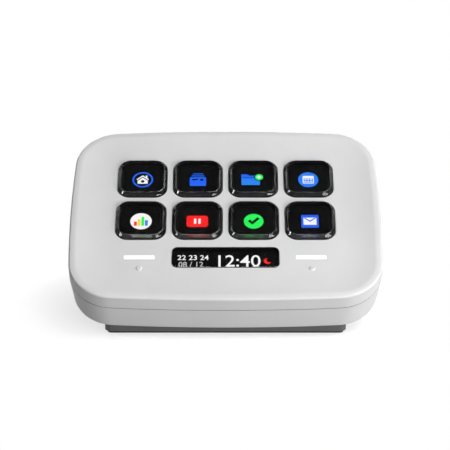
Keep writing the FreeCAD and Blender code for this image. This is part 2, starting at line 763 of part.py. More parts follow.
def make_keys(doc):
    """Make the keys row by row from the top, numbered from the left."""
    made = []
    columns = round(size(doc, "key_columns"))
    rows = round(size(doc, "key_rows"))
    for row in range(rows):
        for column in range(columns):
            number = row * columns + column + 1
            right = f"({column} - (key_columns - 1) / 2) * key_pitch"
            up = f"key_centre_height + ((key_rows - 1) / 2 - {row}) * key_pitch"
            made.append(make_keycap(doc, number, right, up))
            made.append(make_key_film(doc, number, right, up))
            made.append(make_key_frame(doc, number, right, up))
    return made


def make_dome_mat(doc):
    """Mould the silicone mat: one web with a hollow, tapering dome round the window of each key."""
    body = face_body(doc, "dome_mat", up="key_centre_height")
    web = new_sketch(body, "web_outline", z="-web_top")
    margin = "flange_overhang + mat_margin"
    draw_cut_rectangle(web, f"key_block_width + 2 * ({margin})", f"key_block_height + 2 * ({margin})",
                       "flange_radius")
    pad(body, web, "web_thickness", "web", down=True)
    first_key = {"x": FIRST_KEY["x"], "y": "-(key_rows - 1) / 2 * key_pitch"}
    foot = new_sketch(body, "dome_foot_outline", z="-web_top", **first_key)
    foot_width = "flange_width + 2 * dome_spread"
    draw_cut_rectangle(foot, foot_width, foot_width, "flange_radius + dome_spread")
    crown = new_sketch(body, "dome_crown_outline", z="-flange_bottom", **first_key)
    crown_width = "flange_width - 2 * dome_spread"
    draw_cut_rectangle(crown, crown_width, crown_width, "flange_radius - dome_spread")
    dome = loft(body, "AdditiveLoft", [foot, crown], "dome")
    doc.recompute()
    repeat_over_keys(body, dome, "domes")
    doc.recompute()
    window = new_sketch(body, "dome_window_outline", z="-web_top", **first_key)
    window_width = "flange_width - 2 * dome_rim_width"
    draw_cut_rectangle(window, window_width, window_width, "flange_radius - dome_rim_width")
    first = pocket(body, window, "4 * dome_height", "dome_window_cut", both_ways=True)
    repeat_over_keys(body, first, "dome_windows")
    return body


def make_switch_board(doc):
    """Cut the switch board: a window under each key, so that the display shows through."""
    body = face_body(doc, "switch_board", up="key_centre_height")
    outline = new_sketch(body, "switch_board_outline", z="-switch_board_top")
    draw_cut_rectangle(outline, "key_block_width + 2 * switch_board_side_margin",
                       "key_block_height + 2 * switch_board_end_margin", "switch_board_end_margin")
    pad(body, outline, "switch_board_thickness", "switch_board_plate", down=True)
    doc.recompute()
    window = new_sketch(body, "board_window_outline", z="-switch_board_top",
                        x=FIRST_KEY["x"], y="-(key_rows - 1) / 2 * key_pitch")
    window_width = "frame_inner + 2 * board_window_margin"
    draw_cut_rectangle(window, window_width, window_width, "frame_inner_radius + board_window_margin")
    first = pocket(body, window, "4 * switch_board_thickness", "board_window_cut", both_ways=True)
    repeat_over_keys(body, first, "board_windows")
    return body


def make_panel(doc, label, width, height, top, thickness, up):
    """Make a flat rectangular panel that lies parallel to the face."""
    body = face_body(doc, label, up=up)
    outline = new_sketch(body, f"{label}_outline", z=f"-({top})")
    draw_rectangle(outline, width, height)
    pad(body, outline, thickness, f"{label}_plate", down=True)
    return body


def make_display_tray(doc):
    """Fold the steel tray that holds the light guide and the key display, notched for its ribbon."""
    body = face_body(doc, "display_tray", up="key_centre_height")
    outer = new_sketch(body, "tray_outline", z="-tray_bottom")
    draw_rectangle(outer, "display_width + 2 * (tray_gap + tray_sheet)",
                   "display_height + 2 * (tray_gap + tray_sheet)")
    pad(body, outer, "tray_bottom - display_top", "tray_block")
    doc.recompute()
    inner = new_sketch(body, "tray_hollow_outline", z="-(tray_bottom - tray_sheet)")
    draw_rectangle(inner, "display_width + 2 * tray_gap", "display_height + 2 * tray_gap")
    pocket(body, inner, "tray_bottom", "tray_hollow", up=True)
    notch = new_sketch(body, "tray_notch_outline", "XZ_Plane", z="-display_height / 2",
                       x="-display_ribbon_column", y="-display_top")
    draw_rectangle(notch, "display_ribbon_width + 2 * hole_clearance",
                   "2 * (guide_top + guide_thickness - display_top)")
    pocket(body, notch, "8 * tray_sheet", "tray_notch", both_ways=True)
    return body


def make_info_window(doc):
    """Mould the black lens of the information display, glued by a flange behind the faceplate."""
    body = face_body(doc, "info_window", up="-info_centre_drop")
    lens = new_sketch(body, "lens_outline", z="-info_flange_bottom")
    draw_rounded_rectangle(lens, "info_width", "info_height", "info_corner_radius")
    block = pad(body, lens, "info_flange_bottom + info_proud", "lens")
    doc.recompute()
    edge = body.newObject("PartDesign::Chamfer", "lens_edge")
    edge.Base = (block, [face_name(block.Shape, lambda middle: middle.z)])
    bind(edge, {"Size": "info_edge"})
    body.Tip = edge
    doc.recompute()
    flange = new_sketch(body, "lens_flange_outline", z="-plate_thickness")
    draw_cut_rectangle(flange, "info_width + 2 * info_flange", "info_height + 2 * info_flange",
                       "info_corner_radius + info_flange")
    pad(body, flange, "info_flange_thickness", "lens_flange", down=True)
    return body


def make_light_bar(doc, side, sign):
    """Mould one light bar: a milky head with cut corners, flush with the face, on a wider flange."""
    body = face_body(doc, f"light_bar_{side}", right=f"{sign}touch_column", up="-info_centre_drop")
    head = new_sketch(body, f"{side}_bar_head_outline")
    draw_cut_rectangle(head, "bar_length", "bar_width", "bar_width / 2 - bar_fit")
    pad(body, head, "plate_thickness + bar_flange_thickness", f"{side}_bar_head", down=True)
    flange = new_sketch(body, f"{side}_bar_flange_outline", z="-plate_thickness")
    draw_cut_rectangle(flange, "bar_length + 2 * bar_flange", "bar_width + 2 * bar_flange",
                       "bar_flange")
    pad(body, flange, "bar_flange_thickness", f"{side}_bar_flange", down=True)
    return body


def make_touch_board(doc, side, sign):
    """Make the small board behind one touch point."""
    body = face_body(doc, f"touch_board_{side}", right=f"{sign}touch_column",
                     up="-(info_centre_drop + touch_board_drop)")
    outline = new_sketch(body, f"{side}_touch_board_outline", z="-touch_board_top")
    draw_cut_rectangle(outline, "touch_board_width", "touch_board_height", "touch_board_thickness")
    pad(body, outline, "touch_board_thickness", f"{side}_touch_plate", down=True)
    return body


def make_main_board(doc):
    """Cut the main board, its corners clear of the round ones of the cavity, with a hole for each screw."""
    body = face_body(doc, "main_board")
    outline = new_sketch(body, "board_outline", z="-board_top")
    draw_cut_rectangle(outline, "2 * (half_width - board_inset)", "2 * (half_height - board_end_inset)",
                       "corner_radius - board_inset")
    pad(body, outline, "board_thickness", "board_plate", down=True)
    doc.recompute()
    holes = new_sketch(body, "board_hole_outlines", z="-board_top")
    draw_posts(holes, BOARD_BOSSES, "screw_hole_width")
    pocket(body, holes, "4 * board_thickness", "board_holes", both_ways=True)
    return body


def make_usb_socket(doc):
    """Make the cable socket: a flattened steel tube with a tongue, open towards the port."""
    body = face_body(doc, "usb_socket", up="half_height - socket_recess",
                     out="-(board_top - socket_height / 2)")
    shell = new_sketch(body, "socket_outline", "XZ_Plane")
    draw_cut_rectangle(shell, "socket_width", "socket_height", "socket_height / 2")
    pad(body, shell, "socket_length", "socket_shell")
    doc.recompute()
    mouth = new_sketch(body, "socket_mouth_outline", "XZ_Plane")
    draw_cut_rectangle(mouth, "socket_width - 2 * socket_sheet", "socket_height - 2 * socket_sheet",
                       "socket_height / 2 - socket_sheet")
    pocket(body, mouth, "2 * (socket_length - 2 * socket_sheet)", "socket_mouth", both_ways=True)
    tongue = new_sketch(body, "socket_tongue_outline", "XZ_Plane", z="socket_length / 6")
    draw_rectangle(tongue, "socket_width - 6 * socket_sheet", "socket_tongue")
    pad(body, tongue, "socket_length * 5 / 6", "socket_tongue_block")
    return body


def draw_ribbon(sketch, radius, upper_leg, lower_leg, side):
    """Draw a ribbon's edge: folded round half an octagon about the sketch's origin, with two legs.

    The turn bulges to the right where side is 1 and to the left where it is -1."""
    outer = []
    inner = []
    for corners, reach in ((outer, f"({radius})"), (inner, f"(({radius}) - ribbon_thickness)")):
        corners += [
            (f"{-side} * ({upper_leg})", reach),
            (f"{side} * {reach} * tan(22.5)", reach),
            (f"{side} * {reach}", f"{reach} * tan(22.5)"),
            (f"{side} * {reach}", f"-{reach} * tan(22.5)"),
            (f"{side} * {reach} * tan(22.5)", f"-{reach}"),
            (f"{-side} * ({lower_leg})", f"-{reach}"),
        ]
    draw_polygon(sketch, outer + inner[::-1])


def make_ribbon(doc, label, spec):
    """Make a flat ribbon that turns from the back of a panel down to the main board."""
    plane, right, up, side, panel_back, width = spec
    body = face_body(doc, label, right, up, out=f"-(board_top + {panel_back}) / 2")
    edge = new_sketch(body, f"{label}_edge", plane)
    draw_ribbon(edge, f"(board_top - {panel_back}) / 2", "ribbon_tail", "ribbon_landing", side)
    pad(body, edge, width, f"{label}_strip", both_ways=True)
    return body


def make_stand_shell(doc):
    """Mould the dark wedge: walls on a rounded footprint, a roof along the slab's back, and bosses."""
    body = new_body(doc, "stand_shell")
    bind(body, {"Placement.Base.y": "stand_middle"})
    walls = new_sketch(body, "stand_footprint", z="pad_thickness")
    draw_rounded_rectangle(walls, "stand_width", "stand_length", "stand_corner_radius")
    draw_cut_rectangle(walls, "stand_width - 2 * stand_wall", "stand_length - 2 * stand_wall",
                       "stand_corner_radius - stand_wall")
    pad(body, walls, "face_height", "stand_walls")
    roof = new_sketch(body, "roof_section", "YZ_Plane")
    near = "-(stand_length / 2 - stand_wall)"
    far = "stand_length / 2 - stand_wall"
    draw_polygon(roof, [
        (near, f"{slab_back_height(near)} - stand_wall / cos(tilt)"),
        (far, f"{slab_back_height(far)} - stand_wall / cos(tilt)"),
        (far, f"{slab_back_height(far)} + stand_wall"),
        (near, f"{slab_back_height(near)} + stand_wall"),
    ])
    pad(body, roof, "stand_width - 2 * stand_wall", "stand_roof", both_ways=True)
    doc.recompute()
    posts = new_sketch(body, "ballast_boss_outlines", z="pad_thickness + ballast_thickness")
    draw_posts(posts, BALLAST_SCREWS, "stand_boss_width")
    pad(body, posts, "face_height", "ballast_bosses")
    doc.recompute()
    above = new_sketch(body, "slab_bed_section", "YZ_Plane")
    front = "-stand_length"
    back = "stand_length"
    draw_polygon(above, [
        (front, slab_back_height(front)),
        (back, slab_back_height(back)),
        (back, f"{slab_back_height(back)} + 2 * face_height"),
        (front, f"{slab_back_height(front)} + 2 * face_height"),
    ])
    pocket(body, above, "2 * stand_width", "slab_bed", both_ways=True)
    bosses = new_sketch(body, "stand_boss_outlines", turn="tilt", **SLAB_BACK)
    draw_posts(bosses, STAND_SCREWS, "stand_boss_width")
    pad(body, bosses, "stand_boss_length", "stand_bosses", down=True)
    doc.recompute()
    pilots = new_sketch(body, "stand_pilot_outlines", turn="tilt", **SLAB_BACK)
    draw_posts(pilots, STAND_SCREWS, "pilot_width")
    pocket(body, pilots, "pilot_depth", "stand_pilots")
    ballast_pilots = new_sketch(body, "ballast_pilot_outlines", z="pad_thickness + ballast_thickness")
    draw_posts(ballast_pilots, BALLAST_SCREWS, "pilot_width")
    pocket(body, ballast_pilots, "pilot_depth", "ballast_pilots", up=True)
    return body


def slab_back_height(y):
    """Give the height of the slab's back over the stand's frame, at a distance y from its middle."""
    return f"slab_clearance + (stand_setback + stand_length / 2 + ({y})) * tan(tilt)"


def make_ballast_plate(doc):
    """Cut the steel weight that closes the stand, counterbored from below for its screws."""
    body = new_body(doc, "ballast_plate")
    bind(body, {"Placement.Base.y": "stand_middle"})
    length = "stand_length - ballast_setback - stand_wall - ballast_gap"
    outline = new_sketch(body, "ballast_outline", z="pad_thickness",
                         y="(ballast_setback - stand_wall - ballast_gap) / 2")
    draw_cut_rectangle(outline, "stand_width - 2 * (stand_wall + ballast_gap)", length,
                       "stand_corner_radius - stand_wall")
    pad(body, outline, "ballast_thickness", "ballast_slab")
    doc.recompute()
    holes = new_sketch(body, "ballast_hole_outlines", z="pad_thickness")
    draw_posts(holes, BALLAST_SCREWS, "screw_hole_width")
    pocket(body, holes, "4 * ballast_thickness", "ballast_holes", both_ways=True)
    bores = new_sketch(body, "counterbore_outlines", z="pad_thickness")
    draw_posts(bores, BALLAST_SCREWS, "screw_head_width + 2 * hole_clearance")
    pocket(body, bores, "counterbore_depth", "counterbores", up=True)
    return body


def make_foot_pad(doc):
    """Cut the rubber pad that covers the whole underside of the stand."""
    body = new_body(doc, "foot_pad")
    bind(body, {"Placement.Base.y": "stand_middle"})
    outline = new_sketch(body, "pad_outline")
    draw_rounded_rectangle(outline, "stand_width - 2 * pad_inset", "stand_length - 2 * pad_inset",
                           "stand_corner_radius - pad_inset")
    pad(body, outline, "pad_thickness", "pad_sheet")
    return body


def loose_group(doc, label, shapes):
    """Keep several equal pieces under one name."""
    group = doc.addObject("Part::Feature", label)
    group.Label = label
    group.Shape = Part.makeCompound(shapes)
    return group


def eight_sided(foot, width, height):
    """Make an eight-sided prism from the middle of its foot; a negative height hangs it down."""
    radius = width / 2 / math.cos(math.pi / 8)
    turns = [math.pi * (2 * step + 1) / 8 for step in range(8)]
    corners = [foot + Vector(radius * math.cos(turn), radius * math.sin(turn), 0) for turn in turns]
    return Part.Face(Part.makePolygon(corners + corners[:1])).extrude(Vector(0, 0, height))


def screw(doc, x, y, seat, grip, upward):
    """Make a screw whose head bears at height seat, with its shank along z."""
    foot = Vector(x, y, seat)
    way = 1 if upward else -1
    shank = eight_sided(foot, size(doc, "screw_width"), way * grip)
    head = eight_sided(foot, size(doc, "screw_head_width"), -way * size(doc, "screw_head_height"))
    return head.fuse(shank)


def spots(doc, places):
    """Give the x and y of each place of a list made for draw_posts."""
    return [(side * size(doc, x), sign * size(doc, y)) for side, x, sign, y in places]


def make_screws(doc):
    """Make the three sets of screws: boards to front shell, rear shell to stand, ballast to stand."""
    grip = size(doc, "screw_grip")
    board = loose_group(doc, "board_screws", [
        screw(doc, x, y, -size(doc, "board_bottom"), grip + size(doc, "board_thickness"), True)
        for x, y in spots(doc, BOARD_BOSSES)
    ])
    stand = loose_group(doc, "stand_screws", [
        screw(doc, x, y, -size(doc, "slab_depth - rear_floor"), grip + size(doc, "rear_floor"), False)
        for x, y in spots(doc, STAND_SCREWS)
    ])
    for group in (board, stand):
        place_on_face(group)
    seat = size(doc, "pad_thickness + counterbore_depth")
    reach = size(doc, "ballast_thickness - counterbore_depth")
    ballast = loose_group(doc, "ballast_screws", [
        screw(doc, x, y, seat, grip + reach, True) for x, y in spots(doc, BALLAST_SCREWS)
    ])
    bind(ballast, {"Placement.Base.y": "stand_middle"})
    return [board, stand, ballast]


def block_at(x, y, top, sizes_of_block):
    """Make a block centred on x and y that hangs down from a level."""
    width, height, thickness = sizes_of_block
    corner = Vector(x - width / 2, y - height / 2, top - thickness)
    return Part.makeBox(width, height, thickness, corner)


def make_board_parts(doc):
    """Make the chips, the status lamps, the foam blocks and the touch foams."""
    back = -size(doc, "board_bottom")
    chips = [block_at(x, y, back, block) for x, y, *block in CHIPS]
    lamp_block = tuple(size(doc, f"led_{side}") for side in ("length", "width", "height"))
    lamp_top = -size(doc, "plate_thickness + bar_flange_thickness")
    column, row, pitch = size(doc, "touch_column"), -size(doc, "info_centre_drop"), size(doc, "led_pitch")
    lamps = [
        block_at(side * column + step * pitch, row, lamp_top, lamp_block)
        for side in (-1, 1)
        for step in (-1, 0, 1)
    ]
    foam_block = (size(doc, "foam_width"), size(doc, "foam_height"), size(doc, "board_gap"))
    middle = size(doc, "key_centre_height")
    foams = [
        block_at(x * size(doc, "display_width / 2 - foam_side_inset"),
                 middle + y * size(doc, "display_height / 2 - foam_end_inset"),
                 -size(doc, "tray_bottom"), foam_block)
        for x in (-1, 1)
        for y in (-1, 1)
    ]
    plate = size(doc, "plate_thickness")
    foam_depth = size(doc, "touch_board_top") - plate
    touch_foams = [
        eight_sided(Vector(x, y, -plate), size(doc, "touch_foam_width"), -foam_depth)
        for x, y in spots(doc, TOUCH_SPOTS)
    ]
    groups = [
        loose_group(doc, "board_chips", chips),
        loose_group(doc, "status_lamps", lamps),
        loose_group(doc, "tray_foams", foams),
        loose_group(doc, "touch_foams", touch_foams),
    ]
    for group in groups:
        place_on_face(group)
    return groups


def make_keypad(doc):
    """Make every sub-part."""
    parts = [make_front_shell(doc), make_rear_shell(doc)]
    parts += make_keys(doc)
    parts += [make_dome_mat(doc), make_switch_board(doc)]
    parts.append(make_panel(doc, "key_display", "display_width", "display_height", "display_top",
                            "display_thickness", "key_centre_height"))
    parts.append(make_panel(doc, "light_guide", "display_width - 2 * guide_margin",
                            "display_height - 2 * guide_margin", "guide_top", "guide_thickness",
                            "key_centre_height"))
    parts.append(make_display_tray(doc))
    parts.append(make_info_window(doc))
    parts.append(make_panel(doc, "info_display", "info_width + info_flange", "info_height + info_flange",
                            "info_flange_bottom", "info_panel_thickness", "-info_centre_drop"))
    for side, sign in (("left", "-"), ("right", "")):
        parts.append(make_light_bar(doc, side, sign))
        parts.append(make_touch_board(doc, side, sign))
    parts += [make_main_board(doc), make_usb_socket(doc)]
    parts += [make_ribbon(doc, label, spec) for label, spec in RIBBONS.items()]
    parts += make_board_parts(doc)
    parts += [make_stand_shell(doc), make_ballast_plate(doc), make_foot_pad(doc)]
    parts += make_screws(doc)
    return parts


def check(doc, parts):
    """Stop if any object failed to build or any sub-part is not a sound solid."""
    failed = [thing.Name for thing in doc.Objects if {"Invalid", "Error"} & set(thing.State)]
    unsound = [part.Label for part in parts if part.Shape.isNull() or not part.Shape.isValid()]
    hollow = [part.Label for part in parts if not unsound and not part.Shape.Solids]
    if failed or unsound or hollow:
        raise RuntimeError(f"failed {failed}, unsound {unsound}, without a solid {hollow}")


def main():
    doc = FreeCAD.newDocument("keypad")
    make_sheet(doc)
    parts = make_keypad(doc)
    doc.recompute()
    check(doc, parts)
    os.makedirs("parts", exist_ok=True)
    for part in parts:
        part.Shape.exportStep(f"parts/{part.Label}.step")
    print(len(parts), "sub-parts")


main()
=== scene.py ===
# %% [markdown]
# # A display keypad that leans back on a wedge stand
#
# The object is a thin white slab with eight clear keys over a lit display, a narrow
# information display and two touch points. It rests on a dark stand that is shaped like a wedge.
# The solids of every part come ready-made, in metres and in one frame. This lesson dresses
# them: the pieces that the eye rests on are modelled again with soft edges and real curves,
# and every surface gets a finish made of shader nodes.
#
# The first cell loads the solids and lays each one's mesh in the world frame.

# %% Load the solids
import json
from math import asin, atan, atan2, cos, degrees, radians, sin, tan

import bpy
from mathutils import Matrix, Vector
from mathutils.geometry import intersect_sphere_sphere_2d


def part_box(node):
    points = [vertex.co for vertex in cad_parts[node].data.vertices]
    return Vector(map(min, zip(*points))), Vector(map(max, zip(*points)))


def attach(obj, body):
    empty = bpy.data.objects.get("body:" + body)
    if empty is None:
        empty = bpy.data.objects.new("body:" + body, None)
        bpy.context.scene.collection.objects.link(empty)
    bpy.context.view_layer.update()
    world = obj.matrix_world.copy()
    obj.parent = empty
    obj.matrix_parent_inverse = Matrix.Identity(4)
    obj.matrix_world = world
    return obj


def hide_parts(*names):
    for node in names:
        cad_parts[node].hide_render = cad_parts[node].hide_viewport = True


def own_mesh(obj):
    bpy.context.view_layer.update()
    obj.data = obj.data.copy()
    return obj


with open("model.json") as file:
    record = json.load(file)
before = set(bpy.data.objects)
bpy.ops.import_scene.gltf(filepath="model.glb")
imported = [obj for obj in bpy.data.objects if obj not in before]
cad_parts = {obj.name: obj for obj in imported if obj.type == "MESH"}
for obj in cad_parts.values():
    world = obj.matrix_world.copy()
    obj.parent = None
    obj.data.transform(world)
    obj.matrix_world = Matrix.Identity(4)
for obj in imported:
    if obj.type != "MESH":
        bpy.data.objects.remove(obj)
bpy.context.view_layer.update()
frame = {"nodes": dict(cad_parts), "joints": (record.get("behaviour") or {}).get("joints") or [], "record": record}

MM = 0.001
NODES = frame["nodes"]

# %% [markdown]
# ## The slab's own directions
#
# The slab leans back, so its pieces are easiest to draw lying flat, with x to the right, y up
# the face and z out of the face, and to lean back when they are done. The lean could be typed
# in as an angle. Reading it from a key's travel is safer, because the keys move square to the
# face: the frame then says where the slab is, and the drawing follows it.

# %% Find the face
CREST_HEIGHT = 1.1 * MM

press = Vector(next(joint["axis"] for joint in frame["joints"] if joint["name"] == "key_1_press"))
face_out = -press.normalized()
face_right = Vector((1, 0, 0))
face_up = face_out.cross(face_right)
FACE_TURN = Matrix((face_right, face_up, face_out)).transposed()


def span(points):
    """Give the lowest and highest corner of a cloud of points."""
    columns = list(zip(*points))
    return Vector(map(min, columns)), Vector(map(max, columns))


def face_span(node):
    """Give a solid's lowest and highest corner, measured along the slab's own directions."""
    low, high = span([FACE_TURN.transposed() @ corner.co for corner in NODES[node].data.vertices])
    return low - face_middle, high - face_middle


face_middle = Vector((0, 0, 0))
shell_low, shell_high = face_span("front_shell")
face_middle = Vector((0, (shell_low.y + shell_high.y) / 2, shell_high.z - CREST_HEIGHT))
FACE = Matrix.Translation(FACE_TURN @ face_middle) @ FACE_TURN.to_4x4()
print("the face leans back", round(degrees(asin(face_up.z)), 2), "degrees")

# %% [markdown]
# ## Sizes
#
# A few sizes shape the edges: the crowned outline, the shallow dish, the rim round it, the seam
# and its lip. The others are read from the solids, so that a piece never drifts from the part it
# stands for.

# %% Name the sizes
HALF_WIDTH, HALF_HEIGHT, _ = face_span("front_shell")[1]
SIDE_CROWN = 450 * MM
END_CROWN = 700 * MM
CORNER = 15.5 * MM
RIM_WIDTH = 1.9 * MM
RIM_DROP = 0.25 * MM
RIM_ROUND = 0.76 * MM
COVE_WIDTH = 12.5 * MM
PLATE = 1.8 * MM
WALL = 2 * MM
SEAM_ROUND = 0.05 * MM
LIP_HEIGHT = 1.3 * MM
LIP_INSET = 1 * MM
LIP_PLAY = 0.1 * MM
LIP_HEADROOM = 0.3 * MM
DRAFT = 1.1 * MM
BACK_ROUND = 1.8 * MM
SEAM_LEVEL = -4.7 * MM
REAR_TOP = -4.9 * MM
BACK_LEVEL = face_span("rear_shell")[0].z
FLAT_INSET = RIM_WIDTH + COVE_WIDTH
print("face", round(2 * HALF_WIDTH / MM, 2), "by", round(2 * HALF_HEIGHT / MM, 2), "mm, back at",
      round(BACK_LEVEL / MM, 2), "mm, seam at", round(SEAM_LEVEL / MM, 2), "mm")

# %% [markdown]
# ## Drawing with points, runs and turns
#
# Most pieces here are swept: a section is drawn as a chain of edges, and spin carries it round.
# A section could come from a curve object with a bevel. A chain in edit mode needs less,
# and each of its corners stands exactly where it is asked for. It starts as a small plane that
# is merged into one point. Extrude adds a straight run, and spin adds a round one.
#
# Edit mode works on everything that is selected, so each helper first deselects all. Two small
# lengths help to find places: a hair, and dust, which is what rounding may leave.

# %% Helpers that draw
HAIR = 0.01 * MM
DUST = 0.001 * MM
FACING = 0.9


def take(piece):
    """Make a piece the only one selected, in object mode."""
    if bpy.context.mode != "OBJECT":
        bpy.ops.object.mode_set(mode="OBJECT")
    bpy.ops.object.select_all(action="DESELECT")
    bpy.context.view_layer.objects.active = piece
    piece.select_set(True)


def begin(name, place):
    """Start a piece as a single point, and leave it in edit mode with the point selected."""
    bpy.ops.object.select_all(action="DESELECT")
    bpy.ops.mesh.primitive_plane_add(size=MM, location=place)
    piece = bpy.context.active_object
    bpy.ops.object.transform_apply(location=True, rotation=False, scale=False)
    piece.name = name
    bpy.ops.object.mode_set(mode="EDIT")
    bpy.ops.mesh.select_all(action="SELECT")
    bpy.ops.mesh.merge(type="CENTER")
    return piece


def run(start, end):
    """Extrude the selected points along a straight line."""
    bpy.ops.mesh.extrude_region_move(TRANSFORM_OT_translate={"value": Vector(end) - Vector(start)})


def run_through(corners):
    """Extrude the selected point through the corners of a section, each given as x and z."""
    for (x, z), (next_x, next_z) in zip(corners, corners[1:]):
        run((x, 0, z), (next_x, 0, next_z))


def turn(centre, axis, angle, steps):
    """Spin the selected points about an axis, by an angle in radians; spin itself counts clockwise."""
    bpy.ops.mesh.spin(steps=steps, angle=-angle, center=centre, axis=axis)


def close_up():
    """Merge doubled points and turn all faces outwards."""
    bpy.ops.mesh.select_all(action="SELECT")
    bpy.ops.mesh.remove_doubles(threshold=DUST)
    bpy.ops.mesh.normals_make_consistent(inside=False)


def select_faces(piece, wanted):
    """Select the faces for which wanted(middle, normal) is true, and leave the rest."""
    bpy.ops.mesh.select_all(action="DESELECT")
    bpy.ops.object.mode_set(mode="OBJECT")
    for face in piece.data.polygons:
        face.select = wanted(face.center, face.normal)
    bpy.ops.object.mode_set(mode="EDIT")


def is_top(middle, normal):
    """Tell whether a face looks up."""
    return normal.z > FACING


def is_bottom(middle, normal):
    """Tell whether a face looks down."""
    return normal.z < -FACING


def select_edges(piece, wanted):
    """Select the edges for which wanted(start, end) is true, and leave the rest."""
    bpy.ops.mesh.select_all(action="DESELECT")
    bpy.ops.object.mode_set(mode="OBJECT")
    points = piece.data.vertices
    for edge in piece.data.edges:
        start, end = (points[corner].co for corner in edge.vertices)
        edge.select = wanted(start, end)
    bpy.ops.object.mode_set(mode="EDIT")


def apply_modifier(piece, kind, **settings):
    """Give a piece a modifier and make it real at once."""
    take(piece)
    modifier = piece.modifiers.new(kind.lower(), kind)
    for name, value in settings.items():
        setattr(modifier, name, value)
    bpy.ops.object.modifier_apply(modifier=modifier.name)


def mark_faces(piece, wanted):
    """Set the faces for which wanted(middle, normal) is true apart for a second finish."""
    take(piece)
    bpy.ops.object.material_slot_add()
    bpy.ops.object.material_slot_add()
    bpy.ops.object.mode_set(mode="EDIT")
    bpy.ops.mesh.select_mode(type="FACE")
    select_faces(piece, wanted)
    bpy.ops.object.material_slot_assign()
    bpy.ops.mesh.select_mode(type="VERT")
    bpy.ops.object.mode_set(mode="OBJECT")


def soften(piece, width, steps=3, angle=30):
    """Round every edge that is sharper than an angle."""
    apply_modifier(piece, "BEVEL", width=width, segments=steps, limit_method="ANGLE",
                   angle_limit=radians(angle), harden_normals=False)


def smooth(piece, angle=35):
    """Shade a piece smooth, keep its hard edges, and let the large faces lead the shading."""
    take(piece)
    bpy.ops.object.shade_smooth_by_angle(angle=radians(angle))
    apply_modifier(piece, "WEIGHTED_NORMAL", keep_sharp=True)


def lean(piece, place=FACE):
    """Carry a finished piece from the drawing to its place, and leave the place in its mesh."""
    take(piece)
    piece.matrix_world = place
    bpy.ops.object.transform_apply(location=True, rotation=True, scale=True)
    return piece


def block(name, low, high, corner=0.0, steps=8):
    """Make a block between two corners, with its four upright edges rounded."""
    low, high = Vector(low), Vector(high)
    middle = (low + high) / 2
    size = high - low
    bpy.ops.object.select_all(action="DESELECT")
    bpy.ops.mesh.primitive_plane_add(size=1, location=(middle.x, middle.y, low.z))
    piece = bpy.context.active_object
    piece.name = name
    piece.scale = (size.x, size.y, 1)
    bpy.ops.object.transform_apply(location=True, rotation=False, scale=True)
    bpy.ops.object.mode_set(mode="EDIT")
    bpy.ops.mesh.select_all(action="SELECT")
    if corner:
        bpy.ops.mesh.bevel(offset=corner, segments=steps, affect="VERTICES")
    if size.z:
        bpy.ops.mesh.select_all(action="SELECT")
        run((0, 0, low.z), (0, 0, high.z))
        close_up()
    bpy.ops.object.mode_set(mode="OBJECT")
    return piece


def join(name, pieces):
    """Make one piece of several."""
    take(pieces[0])
    for piece in pieces:
        piece.select_set(True)
    if len(pieces) > 1:
        bpy.ops.object.join()
    pieces[0].name = name
    return pieces[0]


def cut(piece, cutters):
    """Take the cutters' room out of a piece."""
    cutter = join("cutter", cutters)
    apply_modifier(piece, "BOOLEAN", operation="DIFFERENCE", object=cutter, solver="EXACT")
    bpy.data.objects.remove(cutter)


print("helpers ready")

# %% [markdown]
# ## The slab's outline
#
# Seen square on, each edge of the slab is a little crowned, and the corners are round. Eight
# arcs make the outline, and each runs into the next without a kink. A section that is
# spun round the middle of each arc in turn follows it exactly. A quarter of the slab
# is enough: a Mirror modifier makes the other three.
#
# The middle of the corner arc is as far inside the side's arc as inside the end's arc, so it
# lies where two circles cross.

# %% Find the outline's arcs
side_middle = Vector((HALF_WIDTH - SIDE_CROWN, 0))
end_middle = Vector((0, HALF_HEIGHT - END_CROWN))
crossings = intersect_sphere_sphere_2d(side_middle, SIDE_CROWN - CORNER, end_middle, END_CROWN - CORNER)
corner_middle = max(crossings, key=lambda crossing: crossing.x + crossing.y)
side_angle = atan2(corner_middle.y - side_middle.y, corner_middle.x - side_middle.x)
end_angle = atan2(corner_middle.y - end_middle.y, corner_middle.x - end_middle.x)
OUTLINE = [
    (side_middle, side_angle, 8),
    (corner_middle, end_angle - side_angle, 16),
    (end_middle, radians(90) - end_angle, 10),
]
print("corner arc about", [round(x / MM, 2) for x in corner_middle], "mm, over",
      round(degrees(end_angle - side_angle), 1), "degrees")


def sweep_round(piece, levels):
    """Sweep the section round a quarter of the outline, mirror it, and fill the flats at some levels."""
    bpy.ops.mesh.select_all(action="SELECT")
    for middle, angle, steps in OUTLINE:
        turn((middle.x, middle.y, 0), (0, 0, 1), angle, steps)
    apply_modifier(piece, "MIRROR", use_axis=(True, True, False), use_clip=True,
                   merge_threshold=5 * DUST)
    bpy.ops.object.mode_set(mode="EDIT")
    flat = [HALF_WIDTH - FLAT_INSET + HAIR, HALF_HEIGHT - FLAT_INSET + HAIR]
    for level in levels:
        select_edges(piece, lambda start, end: all(
            abs(point.z - level) < DUST and abs(point.x) < flat[0] and abs(point.y) < flat[1]
            for point in (start, end)))
        bpy.ops.mesh.edge_face_add()
    close_up()
    bpy.ops.object.mode_set(mode="OBJECT")


# %% [markdown]
# ## Front shell
#
# The white faceplate is moulded with its skirt in one piece. Its middle is flat. Towards the edge it
# rises in a wide shallow cove to a crest, and outside the crest a narrow rim band falls away
# to a soft edge. A subdivision surface would give the softness but not the crisp crest. The
# section is drawn instead, with one true arc for the cove and one for the rim's edge.

